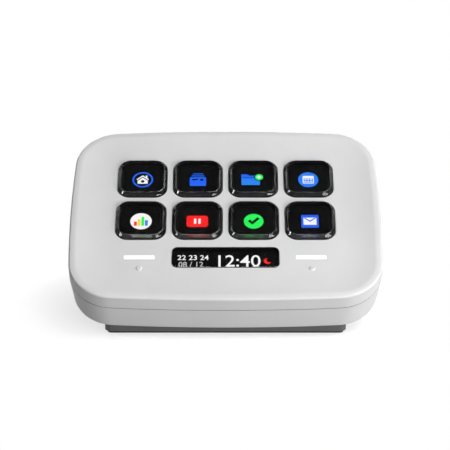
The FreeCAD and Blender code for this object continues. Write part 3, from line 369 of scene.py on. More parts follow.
# %% Sweep the front shell
cove_radius = (COVE_WIDTH ** 2 + CREST_HEIGHT ** 2) / (2 * CREST_HEIGHT)
cove_swing = asin(COVE_WIDTH / cove_radius)
band_slope = atan(RIM_DROP / RIM_WIDTH)
flat_edge = HALF_WIDTH - FLAT_INSET
crest = HALF_WIDTH - RIM_WIDTH
rim_middle = Vector((HALF_WIDTH - RIM_ROUND, 0,
                     CREST_HEIGHT - (RIM_WIDTH - RIM_ROUND) * tan(band_slope)
                     - RIM_ROUND / cos(band_slope)))
rim_start = rim_middle + RIM_ROUND * Vector((sin(band_slope), 0, cos(band_slope)))

front_shell = begin("faceplate", (flat_edge, 0, 0))
turn((flat_edge, 0, cove_radius), (0, -1, 0), cove_swing, 14)
run((crest, 0, CREST_HEIGHT), rim_start)
turn(rim_middle, (0, 1, 0), radians(90) - band_slope, 6)
skirt_foot = Vector((HALF_WIDTH, 0, SEAM_LEVEL + SEAM_ROUND))
run((HALF_WIDTH, 0, rim_middle.z), skirt_foot)
turn(skirt_foot - Vector((SEAM_ROUND, 0, 0)), (0, 1, 0), radians(90), 3)
rebate = HALF_WIDTH - LIP_INSET + LIP_PLAY
rebate_top = REAR_TOP + LIP_HEIGHT + LIP_HEADROOM
inner = HALF_WIDTH - WALL
run_through([
    (HALF_WIDTH - SEAM_ROUND, SEAM_LEVEL),
    (rebate, SEAM_LEVEL),
    (rebate, rebate_top),
    (inner, rebate_top),
    (inner, -PLATE),
    (flat_edge, -PLATE),
])
sweep_round(front_shell, (0, -PLATE))
print("faceplate swept:", len(front_shell.data.polygons), "faces, cove radius",
      round(cove_radius / MM, 1), "mm")

# %% [markdown]
# ## The faceplate's openings
#
# Eight key windows, the slot of the information display and the two slots of the light bars go
# through the plate. A moulded opening has no sharp edge, and the thin bright line along it
# is what makes it look real. Each cutter therefore flares a little where it leaves the
# plate, and one Boolean cuts all the openings with their soft edges. The flare is a list of
# rings: the level of each, and how much it has grown, both in shares of the edge's softness.

# %% Cut the openings
KEY_CORNER = 4.2 * MM
KEY_GAP = 0.2 * MM
LIP_SOFTNESS = 0.14 * MM
FLARE = [(-0.35, 0.3), (0.15, 1.2), (8, 0)]

KEY_SPANS = {number: face_span(f"keycap_{number}") for number in range(1, 9)}
KEY_PLACES = {number: (low + high) / 2 for number, (low, high) in KEY_SPANS.items()}
key_width = KEY_SPANS[1][1].x - KEY_SPANS[1][0].x


def opening_cutter(low, high, corner):
    """Make a block that flares where it passes the face of the plate."""
    cutter = block("cutter", (low.x, low.y, -2 * PLATE), (high.x, high.y, -LIP_SOFTNESS), corner)
    bpy.ops.object.mode_set(mode="EDIT")
    select_faces(cutter, is_top)
    middle = (low + high) / 2
    width, height = high.x - low.x, high.y - low.y
    grown = 0.0
    level = -1.0
    for next_level, growth in FLARE:
        bpy.ops.mesh.extrude_region_move(
            TRANSFORM_OT_translate={"value": (0, 0, (next_level - level) * LIP_SOFTNESS)})
        before = 2 * grown * LIP_SOFTNESS
        after = before + 2 * growth * LIP_SOFTNESS
        bpy.ops.transform.resize(value=((width + after) / (width + before),
                                        (height + after) / (height + before), 1),
                                 center_override=(middle.x, middle.y, 0))
        grown += growth
        level = next_level
    close_up()
    bpy.ops.object.mode_set(mode="OBJECT")
    return cutter


def grown_opening(place, size, gap):
    """Give the two corners of an opening round a middle, with a gap on every side."""
    reach = Vector((size.x / 2 + gap, size.y / 2 + gap, 0))
    return Vector((place.x, place.y, 0)) - reach, Vector((place.x, place.y, 0)) + reach


INFO_CORNER = 1.9 * MM
INFO_SIZE = Vector((36.3, 8.8, 0)) * MM
INFO_GAP = 0.1 * MM
BAR_SIZE = Vector((10.3, 1.65, 0)) * MM
BAR_CORNER = 0.25 * MM
BAR_GAP = 0.05 * MM

info_place = sum(face_span("info_window"), Vector()) / 2
BAR_PLACES = {side: sum(face_span(f"light_bar_{side}"), Vector()) / 2 for side in ("left", "right")}
cutters = [opening_cutter(*grown_opening(place, Vector((key_width, key_width, 0)), KEY_GAP),
                          KEY_CORNER + KEY_GAP) for place in KEY_PLACES.values()]
cutters.append(opening_cutter(*grown_opening(info_place, INFO_SIZE, INFO_GAP), INFO_CORNER + INFO_GAP))
cutters += [opening_cutter(*grown_opening(place, BAR_SIZE, BAR_GAP), BAR_CORNER + BAR_GAP)
            for place in BAR_PLACES.values()]
cut(front_shell, cutters)
print(len(cutters), "openings cut:", len(front_shell.data.polygons), "faces")

# %% [markdown]
# ## Touch nibs
#
# Under each light bar a small button can be felt on the plate. It marks the touch point. Its
# profile is a flat top and a quarter round, spun once round. It belongs to the same moulding, so
# it is joined to the plate.

# %% Spin the nibs
NIB_WIDTH = 2 * MM
NIB_HEIGHT = 0.35 * MM
NIB_DROP = 5 * MM


def nib(side):
    """Spin a low button with a round edge under one light bar."""
    foot = Vector((BAR_PLACES[side].x, BAR_PLACES[side].y - NIB_DROP, 0))
    shoulder = NIB_WIDTH / 2 - NIB_HEIGHT
    button = begin("nib", foot + Vector((0, 0, NIB_HEIGHT)))
    run((0, 0, 0), (shoulder, 0, 0))
    turn(foot + Vector((shoulder, 0, 0)), (0, 1, 0), radians(90), 6)
    run((0, 0, 0), (0, 0, -PLATE / 2))
    run((0, 0, 0), (-NIB_WIDTH / 2, 0, 0))
    bpy.ops.mesh.select_all(action="SELECT")
    turn(foot, (0, 0, 1), radians(360), 24)
    close_up()
    bpy.ops.object.mode_set(mode="OBJECT")
    return button


front_shell = join("faceplate", [front_shell, nib("left"), nib("right")])
smooth(front_shell)
lean(front_shell)
print("two nibs,", round(NIB_HEIGHT / MM, 2), "mm high, on a plate of",
      len(front_shell.data.polygons), "faces")

# %% [markdown]
# ## Rear shell
#
# The white tub under the seam tapers slightly, so that it leaves its mould, and turns into a
# flat back with a round of nearly two millimetres. Its lip stands up inside the front shell.
# The section is drawn in one go, from the floor inside, over the lip and round the back, and is
# swept round the same eight arcs. The cable socket's port is cut in the upper edge. The seam is
# a narrow gap that holds only shadow, and that shadow is painted: the lip's faces get a near-black painted shade.

# %% Sweep the rear shell and cut its port
PORT_GAP = 0.22 * MM
PORT_DEPTH = 6 * MM
PORT_ROUND = 0.1 * MM

wall_lean = DRAFT / (REAR_TOP - BACK_LEVEL)
back_edge = HALF_WIDTH - wall_lean * (REAR_TOP - BACK_LEVEL - BACK_ROUND)
wall_angle = atan(wall_lean)
round_middle = Vector((back_edge - BACK_ROUND * cos(wall_angle), 0,
                       BACK_LEVEL + BACK_ROUND))

lip_out = HALF_WIDTH - LIP_INSET
lip_top = REAR_TOP + LIP_HEIGHT
floor_top = BACK_LEVEL + PLATE
seam_start = HALF_WIDTH - SEAM_ROUND

rear_shell = begin("tub", (flat_edge, 0, floor_top))
run_through([
    (flat_edge, floor_top),
    (inner - DRAFT, floor_top),
    (inner, lip_top),
    (lip_out, lip_top),
    (lip_out, REAR_TOP),
    (seam_start, REAR_TOP),
])
turn((seam_start, 0, REAR_TOP - SEAM_ROUND), (0, 1, 0), radians(90), 3)
wall_start = Vector((HALF_WIDTH, 0, REAR_TOP - SEAM_ROUND))
wall_end = round_middle + BACK_ROUND * Vector((cos(wall_angle), 0, -sin(wall_angle)))
run(wall_start, wall_end)
turn(round_middle, (0, 1, 0), radians(90) - wall_angle, 7)
run((round_middle.x, 0, BACK_LEVEL), (flat_edge, 0, BACK_LEVEL))
sweep_round(rear_shell, (BACK_LEVEL, floor_top))

socket_low, socket_high = face_span("usb_socket")
port_height = (socket_high.z - socket_low.z) / 2 + PORT_GAP
port_size = Vector((socket_high.x - socket_low.x + 2 * PORT_GAP, 2 * port_height, PORT_DEPTH))
port = block("cutter", -port_size / 2, port_size / 2, port_height - HAIR)
port_turn = Matrix.Rotation(radians(90), 4, "X")
lean(port, Matrix.Translation((0, HALF_HEIGHT, (socket_low.z + socket_high.z) / 2)) @ port_turn)
cut(rear_shell, [port])
soften(rear_shell, PORT_ROUND, steps=2, angle=60)
smooth(rear_shell)
# Painted shade: the lip's faces get a near-black finish that stands in for the shadow in the seam's gap.
mark_faces(rear_shell, lambda middle, normal: middle.z > REAR_TOP - 5 * DUST)
lean(rear_shell)
print("tub swept:", len(rear_shell.data.polygons), "faces; port",
      [round(x / MM, 2) for x in port_size[:2]], "mm")

# %% [markdown]
# ## Stand
#
# The dark wedge stands upright on its rounded footprint, and the slab lies on its slanted roof.
# It could be cut from a box with a Boolean. Bisect does the same in one step: it slices the
# block along the back of the slab and closes the cut. The underside stays open for the
# steel weight, so the block is hollowed with a Solidify modifier.

# %% Cut the stand
STAND_CORNER = 2.4 * MM
STAND_WALL = 2 * MM
STAND_ROUND = 0.2 * MM
SPARE_HEIGHT = 2 * MM

stand_low, stand_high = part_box("stand_shell")
stand = block("wedge", stand_low, stand_high + Vector((0, 0, SPARE_HEIGHT)), STAND_CORNER, steps=10)
bpy.ops.object.mode_set(mode="EDIT")
bpy.ops.mesh.select_all(action="SELECT")
bpy.ops.mesh.bisect(plane_co=FACE @ Vector((0, 0, BACK_LEVEL)), plane_no=face_out,
                    use_fill=True, clear_outer=True)
close_up()
select_faces(stand, is_bottom)
bpy.ops.mesh.delete(type="FACE")
soften(stand, STAND_ROUND, steps=3, angle=25)
apply_modifier(stand, "SOLIDIFY", thickness=STAND_WALL, offset=-1, use_rim=True)
smooth(stand)
print("wedge", [round(x / MM, 2) for x in stand_high - stand_low], "mm")

# %% [markdown]
# ## Rubber pad
#
# A sheet of rubber covers the whole underside, a little inside the walls. A cut sheet has soft
# edges, so the block gets a small round all over.

# %% Cut the pad
PAD_CORNER = 1.55 * MM
PAD_ROUND = 0.22 * MM

pad_low, pad_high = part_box("foot_pad")
foot_pad = block("rubber_sheet", pad_low, pad_high, PAD_CORNER, steps=10)
soften(foot_pad, PAD_ROUND)
smooth(foot_pad)
print("pad", [round(x / MM, 2) for x in pad_high - pad_low], "mm")

# %% [markdown]
# ## Keycaps
#
# A key is a clear block of moulded acrylic. Its face is flat, its edges are cut off in a broad
# bevel, and underneath it is hollow, so that the picture below sits close to the eye. The bevel
# is the piece's charm: it bends the picture's colours into thin streaks. The sides are masked in
# black, so that nothing shows through them: those faces are marked here for a second finish.
# Eight keys are alike, so one is modelled and the others are copies, each with its own mesh.

# %% Model one cap
KEY_BEVEL = 1 * MM
KEY_EDGE = 0.22 * MM
STEM_WIDTH = 15.3 * MM
HOLLOW_WALL = 0.7 * MM
HOLLOW_TOP = -1.72 * MM
HEAD_FOOT = -1.9 * MM
MASK_SLOPE = 0.3

cap_low, cap_high = KEY_SPANS[1]
cap_half = key_width / 2
cap = block("cap", (-cap_half, -cap_half, HEAD_FOOT), (cap_half, cap_half, cap_high.z),
            KEY_CORNER, steps=12)
bpy.ops.object.mode_set(mode="EDIT")
select_edges(cap, lambda start, end: min(start.z, end.z) > cap_high.z - HAIR)
bpy.ops.mesh.bevel(offset=KEY_BEVEL, segments=1, affect="EDGES")
select_faces(cap, is_bottom)
bpy.ops.mesh.inset(thickness=(key_width - STEM_WIDTH) / 2)
run((0, 0, HEAD_FOOT), (0, 0, cap_low.z))
bpy.ops.mesh.inset(thickness=HOLLOW_WALL)
run((0, 0, cap_low.z), (0, 0, HOLLOW_TOP))
close_up()
soften(cap, KEY_EDGE, angle=28)
smooth(cap, angle=50)


def is_masked(middle, normal):
    """Tell whether a face of a cap is masked in black: all but its top, its bevel and its window."""
    is_window = is_bottom(middle, normal) and middle.z > HOLLOW_TOP - HAIR
    return normal.z < MASK_SLOPE and not is_window


mark_faces(cap, is_masked)
print("one cap:", len(cap.data.polygons), "faces,", round(key_width / MM, 2), "mm wide")

# %% Copy them to the eight keys
def copy_to(piece, name, place):
    """Copy a piece with its own mesh to a place on the face, and lean it back."""
    twin = piece.copy()
    twin.data = piece.data.copy()
    twin.name = name
    bpy.context.scene.collection.objects.link(twin)
    return lean(twin, FACE @ Matrix.Translation((place.x, place.y, 0)))


CAPS = {number: copy_to(cap, f"cap_{number}", place) for number, place in KEY_PLACES.items()}
bpy.data.objects.remove(cap)
print(len(CAPS), "keys placed, pitch",
      round((KEY_PLACES[2].x - KEY_PLACES[1].x) / MM, 2), "mm")

# %% [markdown]
# ## Dome mat
#
# Under the keys lies a silicone mat: a thin web with a hollow, tapering dome round the window of
# each key, which pushes the key back up. The solid is one rigid piece, so a pressed key would sink
# into it. Here the web and the domes are pieces of their own, each dome a copy with its own mesh.

# %% Model the web and one dome
WEB = 0.4 * MM
DOME_SPREAD = 0.2 * MM
DOME_RIM = 1.1 * MM

mat_low, mat_high = face_span("dome_mat")
frame_low, frame_high = face_span("key_frame_1")
frame_width = frame_high.x - frame_low.x
frame_corner = KEY_CORNER + (frame_width - key_width) / 2
web_top = mat_low.z + WEB


def window_cutter(place):
    """Make a block that cuts one window through the mat."""
    reach = frame_width / 2 - DOME_RIM
    return block("cutter", (place.x - reach, place.y - reach, mat_low.z - WEB),
                 (place.x + reach, place.y + reach, mat_high.z + WEB), frame_corner - DOME_RIM)


web = block("mat_web", mat_low, (mat_high.x, mat_high.y, web_top), frame_corner)
cut(web, [window_cutter(place) for place in KEY_PLACES.values()])
smooth(web)
lean(web)

foot_half = frame_width / 2 + DOME_SPREAD
crown_share = (frame_width / 2 - DOME_SPREAD) / foot_half
dome = block("dome", (-foot_half, -foot_half, web_top), (foot_half, foot_half, mat_high.z),
             frame_corner + DOME_SPREAD)
bpy.ops.object.mode_set(mode="EDIT")
select_faces(dome, is_top)
bpy.ops.transform.resize(value=(crown_share, crown_share, 1))
bpy.ops.object.mode_set(mode="OBJECT")
cut(dome, [window_cutter(Vector((0, 0, 0)))])
smooth(dome)
DOMES = {number: copy_to(dome, f"dome_{number}", place) for number, place in KEY_PLACES.items()}
bpy.data.objects.remove(dome)

# %% [markdown]
# ## Information lens and light bars
#
# The lens of the information display is a clear bar with a fine bevel, proud of the plate by
# a quarter of a millimetre. Its sides are painted black, so that no white plate shows through
# them: those faces are marked for a second finish. The light bars are milky blocks flush with
# the plate.

# %% Model the lens and the bars
LENS_BEVEL = 0.2 * MM
LENS_LIFT = 0.02 * MM
SIDE_SLOPE = 0.1
BAR_PROUD = 0.02 * MM
BAR_ROUND = 0.1 * MM

info_low, info_high = face_span("info_window")
lens_low, lens_high = grown_opening(info_place, INFO_SIZE, 0)
lens_low.z = info_low.z + LENS_LIFT
lens_high.z = info_high.z
lens = block("info_lens", lens_low, lens_high, INFO_CORNER, steps=10)
bpy.ops.object.mode_set(mode="EDIT")
select_edges(lens, lambda start, end: min(start.z, end.z) > lens_high.z - HAIR)
bpy.ops.mesh.bevel(offset=LENS_BEVEL, segments=3, affect="EDGES")
smooth(lens, angle=50)
mark_faces(lens, lambda middle, normal: abs(normal.z) < SIDE_SLOPE)
lean(lens)

BARS = {}
for side, place in BAR_PLACES.items():
    low, high = grown_opening(place, BAR_SIZE, 0)
    low.z, high.z = -PLATE, BAR_PROUD
    bar = block(f"bar_{side}", low, high, BAR_CORNER, steps=4)
    soften(bar, BAR_ROUND, steps=2, angle=60)
    smooth(bar)
    BARS[side] = lean(bar)
print("lens", [round(x / MM, 2) for x in lens_high - lens_low], "mm;", len(BARS), "bars")

# %% [markdown]
# ## Lit pictures
#
# Each key shows one picture, about seven millimetres across. They are flat shapes, cut from
# planes and circles, and each colour lies a hair above the one behind it. They could be painted
# by a shader. As pieces of their own they stay crisp at any distance, and they keep their colours
# on any material system.

# %% Helpers for flat shapes
LAYER = 0.012 * MM
DISC_BAND = 0.1
SHAPES = []


def keep_flat(shape, colour, layer):
    """Remember a flat shape with its colour and its layer."""
    SHAPES.append((shape, colour, layer))
    return shape


def panel(centre, size, colour, layer, corner=0.0, steps=6):
    """Make a flat panel with rounded corners, in millimetres from the picture's middle."""
    low = Vector((centre[0] - size[0] / 2, centre[1] - size[1] / 2, 0)) * MM
    high = Vector((centre[0] + size[0] / 2, centre[1] + size[1] / 2, 0)) * MM
    return keep_flat(block("panel", low, high, corner * MM, steps), colour, layer)


def disc(centre, width, colour, layer, sides=48, rim=0.0):
    """Make a disc, or a ring where rim is the width of its band."""
    bpy.ops.object.select_all(action="DESELECT")
    bpy.ops.mesh.primitive_circle_add(vertices=sides, radius=width / 2 * MM, fill_type="NGON",
                                      location=(centre[0] * MM, centre[1] * MM, 0))
    shape = bpy.context.active_object
    bpy.ops.object.transform_apply(location=True, rotation=False, scale=False)
    bpy.ops.object.mode_set(mode="EDIT")
    bpy.ops.mesh.select_all(action="SELECT")
    bpy.ops.mesh.inset(thickness=(rim or DISC_BAND) * MM)
    if rim:
        bpy.ops.mesh.delete(type="FACE")
    bpy.ops.object.mode_set(mode="OBJECT")
    return keep_flat(shape, colour, layer)


def outline(points, colour, layer):
    """Make a flat shape from its corners: runs of edges that are closed and filled."""
    corners = [Vector((x, y, 0)) * MM for x, y in points]
    shape = begin("outline", corners[0])
    for start, end in zip(corners, corners[1:]):
        run(start, end)
    bpy.ops.mesh.select_all(action="SELECT")
    bpy.ops.mesh.edge_face_add()
    bpy.ops.mesh.normals_make_consistent(inside=False)
    bpy.ops.object.mode_set(mode="OBJECT")
    if shape.data.polygons[0].normal.z < 0:
        shape.data.flip_normals()
    return keep_flat(shape, colour, layer)


# %% [markdown]
# ## Eight pictures
#
# The pictures are plain signs: a house in a ring, a box of cards, a folder with a plus, a
# calendar, a bar chart, a pause sign, a tick and a letter. Each is drawn with the helpers above,
# its points in millimetres from the middle of the key. A picture with many small parts would
# blur at this size, so each has only the few shapes that make it known.

# %% Draw the eight pictures
def draw_house():
    """A house in a ring."""
    disc((0, 0), 7.3, "blue", 1, rim=0.62)
    outline([(-2.2, 0.25), (0, 2.1), (2.2, 0.25), (1.9, -0.1), (0, 1.45), (-1.9, -0.1)], "white", 1)
    outline([(1.0, 1.25), (1.0, 2.0), (1.6, 2.0), (1.6, 0.75)], "white", 1)
    outline([(-1.8, -1.9), (1.8, -1.9), (1.8, -0.45), (0, 1.0), (-1.8, -0.45)], "white", 1)
    disc((0, -0.8), 1.25, "black", 2, sides=24)


def draw_cards():
    """A box of cards."""
    panel((0, 2.8), (3.7, 0.42), "blue", 1, 0.2)
    panel((0, 1.86), (4.6, 0.44), "blue", 1, 0.21)
    panel((0, -0.86), (5.75, 4.2), "blue", 1, 0.5)
    outline([(-2.05, 0.35), (0.25, 0.5), (0.1, 0.1), (-0.7, -0.2), (-2.0, -0.35)], "black", 2)
    panel((1.35, 0.0), (1.2, 1.0), "black", 2, 0.48)


def draw_folder():
    """A folder with a plus on a round badge."""
    outline([(-4.1, -2.5), (2.4, -2.5), (2.4, 2.0), (-1.3, 2.0), (-2.0, 2.6), (-4.1, 2.6)], "blue", 1)
    panel((-0.85, -0.95), (6.5, 3.1), "sky", 2, 0.3)
    panel((-1.7, 0.9), (3.9, 0.22), "black", 3)
    disc((2.1, 1.2), 3.5, "black", 4, sides=32)
    disc((2.1, 1.2), 2.85, "green", 5, sides=32)
    panel((2.1, 1.2), (1.5, 0.42), "white", 6)
    panel((2.1, 1.2), (0.42, 1.5), "white", 6)


def draw_calendar():
    """A calendar on a disc."""
    disc((0, 0), 7.1, "azure", 1)
    panel((0, 0), (3.95, 3.7), "white", 2, 0.5)
    panel((0, -0.45), (3.25, 2.1), "azure", 3, 0.25)
    for x in (-1.0, 0, 1.0):
        for y in (0.1, -0.95):
            panel((x, y), (0.62, 0.62), "white", 4, 0.1)


def draw_bars():
    """A bar chart on a disc."""
    disc((0, 0), 7.4, "white", 1)
    heights = {"red": 1.9, "yellow": 3.0, "green": 4.1, "sky": 2.5}
    for step, (colour, height) in enumerate(heights.items()):
        panel((1.25 * step - 1.88, height / 2 - 2.05), (1.0, height), colour, 2, 0.12)


def draw_pause():
    """A pause sign."""
    panel((0, 0), (7.4, 5.2), "red", 1, 1.0)
    for x in (-0.75, 0.75):
        panel((x, 0), (0.8, 2.3), "white", 2, 0.15)


def draw_tick():
    """A tick on a disc."""
    disc((0, 0), 6.8, "green", 1)
    outline([(-2.0, 0.05), (-1.3, 0.75), (-0.5, -0.1), (1.4, 1.85), (2.1, 1.15), (-0.5, -1.5)],
            "black", 2)


def draw_letter():
    """A letter on a panel."""
    panel((0, 0), (6.0, 5.9), "deep", 1, 0.45)
    panel((0, 0), (4.5, 3.3), "white", 2, 0.3)
    outline([(-2.1, 1.4), (-1.7, 1.6), (0, 0.3), (1.7, 1.6), (2.1, 1.4), (0, -0.3)], "deep", 3)


PICTURES = {
    1: draw_house, 2: draw_cards, 3: draw_folder, 4: draw_calendar,
    5: draw_bars, 6: draw_pause, 7: draw_tick, 8: draw_letter,
}
print(len(PICTURES), "pictures drawn up")

# %% [markdown]
# ## Information display
#
# The narrow display shows a clock, with small numbers for the day beside it and a red crescent for
# the night. The numbers are text objects, turned into meshes and laid under the lens.

# %% Helpers for the clock
DIGIT_SHARE = 0.7


def numbers(words, centre, height, colour, layer, weight):
    """Set plain numbers as a flat mesh. A digit takes about 0.7 of the font's size."""
    bpy.ops.object.select_all(action="DESELECT")
    bpy.ops.object.text_add()
    shape = bpy.context.active_object
    shape.data.body = words
    shape.data.align_x = "CENTER"
    shape.data.align_y = "CENTER"
    shape.data.size = height * MM / DIGIT_SHARE
    shape.data.offset = weight * MM
    bpy.ops.object.convert(target="MESH")
    shape.location = (centre[0] * MM, centre[1] * MM, 0)
    bpy.ops.object.transform_apply(location=True, rotation=False, scale=False)
    return keep_flat(shape, colour, layer)


def draw_clock():
    """A clock, the days beside it, and a crescent."""
    numbers("12:40", (4.1, -0.75), 5.0, "white", 1, weight=0.03)
    numbers("22 23 24", (-11.0, 0.85), 2.1, "white", 1, weight=0.03)
    numbers("08 / 12", (-11.7, -2.1), 2.1, "grey", 1, weight=0.03)
    disc((14.2, -0.55), 2.5, "red", 1, sides=32)
    disc((14.9, -0.1), 2.0, "black", 2, sides=32)


print("clock drawn up")

# %% [markdown]
# ## Shader maths
#
# A finish is built from nodes, and its maths reads best as maths. The class below wraps an output
# socket, so that 0.4 + 0.2 * grain adds the Math nodes by itself. Everything else comes
# from one method, add, which takes the kind of node, its settings, and what goes in its sockets.

# %% The two classes for finishes
class Level:
    """A number that a node gives, which can be used in sums."""

    def __init__(self, finish, socket):
        self.finish = finish
        self.socket = socket

    def maths(self, operation, first, second):
        """Add a Math node."""
        return self.finish.add("ShaderNodeMath", {"operation": operation}, {0: first, 1: second})

    def __add__(self, other):
        return self.maths("ADD", self, other)

    def __mul__(self, other):
        return self.maths("MULTIPLY", self, other)

    __radd__ = __add__
    __rmul__ = __mul__


class Finish:
    """A material or a world, and the nodes that make it."""

    def __init__(self, owner):
        owner.use_nodes = True
        self.owner = owner
        self.tree = owner.node_tree
        self.tree.nodes.clear()

    def add(self, kind, settings=None, inputs=None, output=0):
        """Add a node: first its settings, then the values or links of its sockets."""
        node = self.tree.nodes.new(kind)
        for name, value in (settings or {}).items():
            if name == "stops":
                self.set_stops(node.color_ramp.elements, value)
            else:
                setattr(node, name, value)
        for name, value in (inputs or {}).items():
            socket = node.inputs[name]
            if isinstance(value, Level):
                self.tree.links.new(value.socket, socket)
            elif value is not None:
                socket.default_value = value
        return Level(self, node.outputs[output]) if node.outputs else node

    def set_stops(self, elements, stops):
        """Set a ramp's stops: a place and a shade each."""
        while len(elements) < len(stops):
            elements.new(0.5)
        for element, (place, shade) in zip(elements, stops):
            element.position = place
            element.color = (*shade[:3], 1)

    def grain(self, scale, detail=2.0, stretch=None):
        """Add a noise on the object's own coordinates, with the scale in features per metre."""
        where = self.add("ShaderNodeTexCoord", output="Object")
        if stretch:
            where = self.add("ShaderNodeMapping", None, {"Vector": where, "Scale": stretch})
        return self.add("ShaderNodeTexNoise", None,
                        {"Vector": where, "Scale": scale, "Detail": detail, "Roughness": 0.55})

    def ramp(self, level, *stops):
        """Turn a level into a colour that runs through the stops."""
        return self.add("ShaderNodeValToRGB", {"stops": stops}, {"Fac": level})

    def tone(self, level, dark, light):
        """Let a colour wander from dark to light with a level, as a noise's middle part does."""
        return self.ramp(level, (0.3, dark), (0.7, light))

    def bump(self, height, depth, strength=1.0):
        """Turn a height into a bumped normal, with the depth in metres."""
        return self.add("ShaderNodeBump", None,
                        {"Height": height, "Distance": depth, "Strength": strength})

    def surface(self, **inputs):
        """Finish the material with the standard shader."""
        names = {name.replace("_", " "): value for name, value in inputs.items()}
        shader = self.add("ShaderNodeBsdfPrincipled", None, names)
        self.add("ShaderNodeOutputMaterial", None, {"Surface": shader})
        return self.owner


def new_finish(name):
    """Start the finish of a new material."""
    return Finish(bpy.data.materials.new(name))


def screen_colour(red, green, blue):
    """Turn a colour as it is seen on a screen, from 0 to 255, into the light that a shader works with."""
    shares = [channel / 255 for channel in (red, green, blue)]
    return tuple(x / 12.92 if x <= 0.04045 else ((x + 0.055) / 1.055) ** 2.4 for x in shares) + (1,)


print("shader helpers ready")

# %% [markdown]
# ## White satin plastic
#
# Both shells are moulded in white, with a fine spark-eroded grain that scatters the light. Close
# up, the grain is a bump of a few hundredths of a millimetre. The colour wanders very slightly,
# as moulded plastic does, and long faint rubs from handling change only the gloss.

# %% White shells
def make_shell_white():
    """Make the satin white of both shells."""
    finish = new_finish("satin_white")
    cloud = finish.grain(40, 3)
    fine = finish.grain(5200, 1)
    rubs = finish.grain(260, 4, stretch=(1, 0.08, 0.08))
    tone = finish.tone(cloud, screen_colour(232, 232, 233), screen_colour(238, 238, 238))
    return finish.surface(Base_Color=tone, Roughness=0.4 + 0.1 * rubs + 0.05 * fine,
                          Specular_IOR_Level=0.45, Normal=finish.bump(fine, 0.012 * MM, 0.25))


shell_white = make_shell_white()
print(shell_white.name, "made")

# %% [markdown]
# ## Dark stand and rubber
#
# The stand is a coarser, darker moulding, and the pad under it is matt rubber with a fine
# stipple. Dark plastic shows dust and rubs first, so its gloss varies more than the white one's.

# %% Stand and pad
def make_stand_grey():
    """Make the stand's coarse dark plastic."""
    finish = new_finish("dark_moulding")
    cloud = finish.grain(60, 4)
    fine = finish.grain(3600, 2)
    tone = finish.tone(cloud, screen_colour(86, 86, 88), screen_colour(94, 94, 95))
    return finish.surface(Base_Color=tone, Roughness=0.45 + 0.12 * cloud + 0.06 * fine,
                          Normal=finish.bump(fine, 0.02 * MM, 0.35))


def make_pad_rubber():
    """Make the pad's stippled rubber."""
    finish = new_finish("stippled_rubber")
    cloud = finish.grain(90, 3)
    stipple = finish.grain(4200, 2)
    tone = finish.tone(cloud, screen_colour(46, 46, 48), screen_colour(54, 54, 55))
    return finish.surface(Base_Color=tone, Roughness=0.6 + 0.2 * cloud,
                          Normal=finish.bump(stipple, 0.02 * MM, 0.5))


stand_grey = make_stand_grey()
pad_rubber = make_pad_rubber()
print(stand_grey.name, "and", pad_rubber.name, "made")

# %% [markdown]
# ## Clear, black and lit finishes
#
# The keys and the lens are clear acrylic. It is polished, but fingers leave a faint film, so its
# roughness varies a little. The films under the keys are black, and so are the masks on the sides
# of keys and lens. A black that shines would turn grey in a white room, so each has its own small
# shine. The pictures glow: their colours go to Emission Color, and a fine grid darkens the gaps
# between the display's dots.

# %% Clear and black finishes
def make_key_clear():
    """Make the polished clear acrylic of keys and lens."""
    finish = new_finish("polished_acrylic")
    film_mark = finish.grain(300, 3)
    return finish.surface(Base_Color=(1, 1, 1, 1), Roughness=0.012 + 0.03 * film_mark, IOR=1.49,
                          Transmission_Weight=1.0)


def make_black(name, shade, roughness, shine=0.5):
    """Make a black finish; the less it shines, the less of the white room it sends back."""
    finish = new_finish(name)
    cloud = finish.grain(140, 3)
    fine = finish.grain(2600, 1)
    tone = finish.tone(cloud, (shade,) * 3, (shade * 1.35,) * 3)
    return finish.surface(Base_Color=tone, Roughness=roughness + 0.08 * cloud,
                          Specular_IOR_Level=shine, Normal=finish.bump(fine, 0.006 * MM, 0.2))


key_clear = make_key_clear()
key_black = make_black("frame_black", 0.005, 0.5, shine=0.15)
mask_black = make_black("mask_black", 0.004, 0.3, shine=0.3)
film_black = make_black("film_black", 0.003, 0.55, shine=0.03)
# Painted shade for the seam: a near-black finish on the tub's lip, where the gap holds only shadow.
seam_painted_shade = make_black("seam_shadow", 0.004, 0.7, shine=0.05)
print("clear and black finishes made")

# %% Lit finishes
DOT_PITCH = 0.12 * MM


def make_lit(name, shade, strength=1.0):
    """Make a lit colour, with the fine grid of a display's dots."""
    finish = new_finish(name)
    place = finish.add("ShaderNodeTexCoord", output="Object")
    dots = finish.add("ShaderNodeTexBrick", {"offset": 0.0}, {
        "Vector": place, "Scale": 1.0, "Mortar Size": 0.012 * MM, "Mortar Smooth": 0.3,
        "Brick Width": DOT_PITCH, "Row Height": DOT_PITCH,
        "Color1": shade, "Color2": tuple(0.97 * x for x in shade[:3]) + (1,),
        "Mortar": tuple(0.8 * x for x in shade[:3]) + (1,),
    })
    return finish.surface(Base_Color=(0.004, 0.004, 0.004, 1), Roughness=0.6,
                          Emission_Color=dots, Emission_Strength=strength)


LIT = {
    "white": make_lit("lit_white", (0.95, 0.95, 0.95, 1), 1.1),
    "blue": make_lit("lit_blue", screen_colour(6, 100, 255), 1.05),
    "sky": make_lit("lit_sky", screen_colour(22, 138, 255), 1.0),
    "azure": make_lit("lit_azure", screen_colour(16, 128, 255), 1.05),
    "deep": make_lit("lit_deep", screen_colour(10, 96, 255), 1.0),
    "red": make_lit("lit_red", screen_colour(255, 8, 8), 1.1),
    "green": make_lit("lit_green", screen_colour(22, 246, 86), 1.1),
    "yellow": make_lit("lit_yellow", screen_colour(255, 220, 10), 1.1),
    "grey": make_lit("lit_grey", screen_colour(200, 200, 200), 1.0),
    "black": film_black,
}
print(len(LIT), "lit colours")

# %% [markdown]
# ## Laying the pictures
#
# The shapes of a picture are drawn in the middle of the world. Here each gets its lit colour, is
# lifted to its layer and carried to its key. Joined, they make one piece for each key, which can
# travel with it. The pictures lie on the films under the caps, and the clock on its own panel.

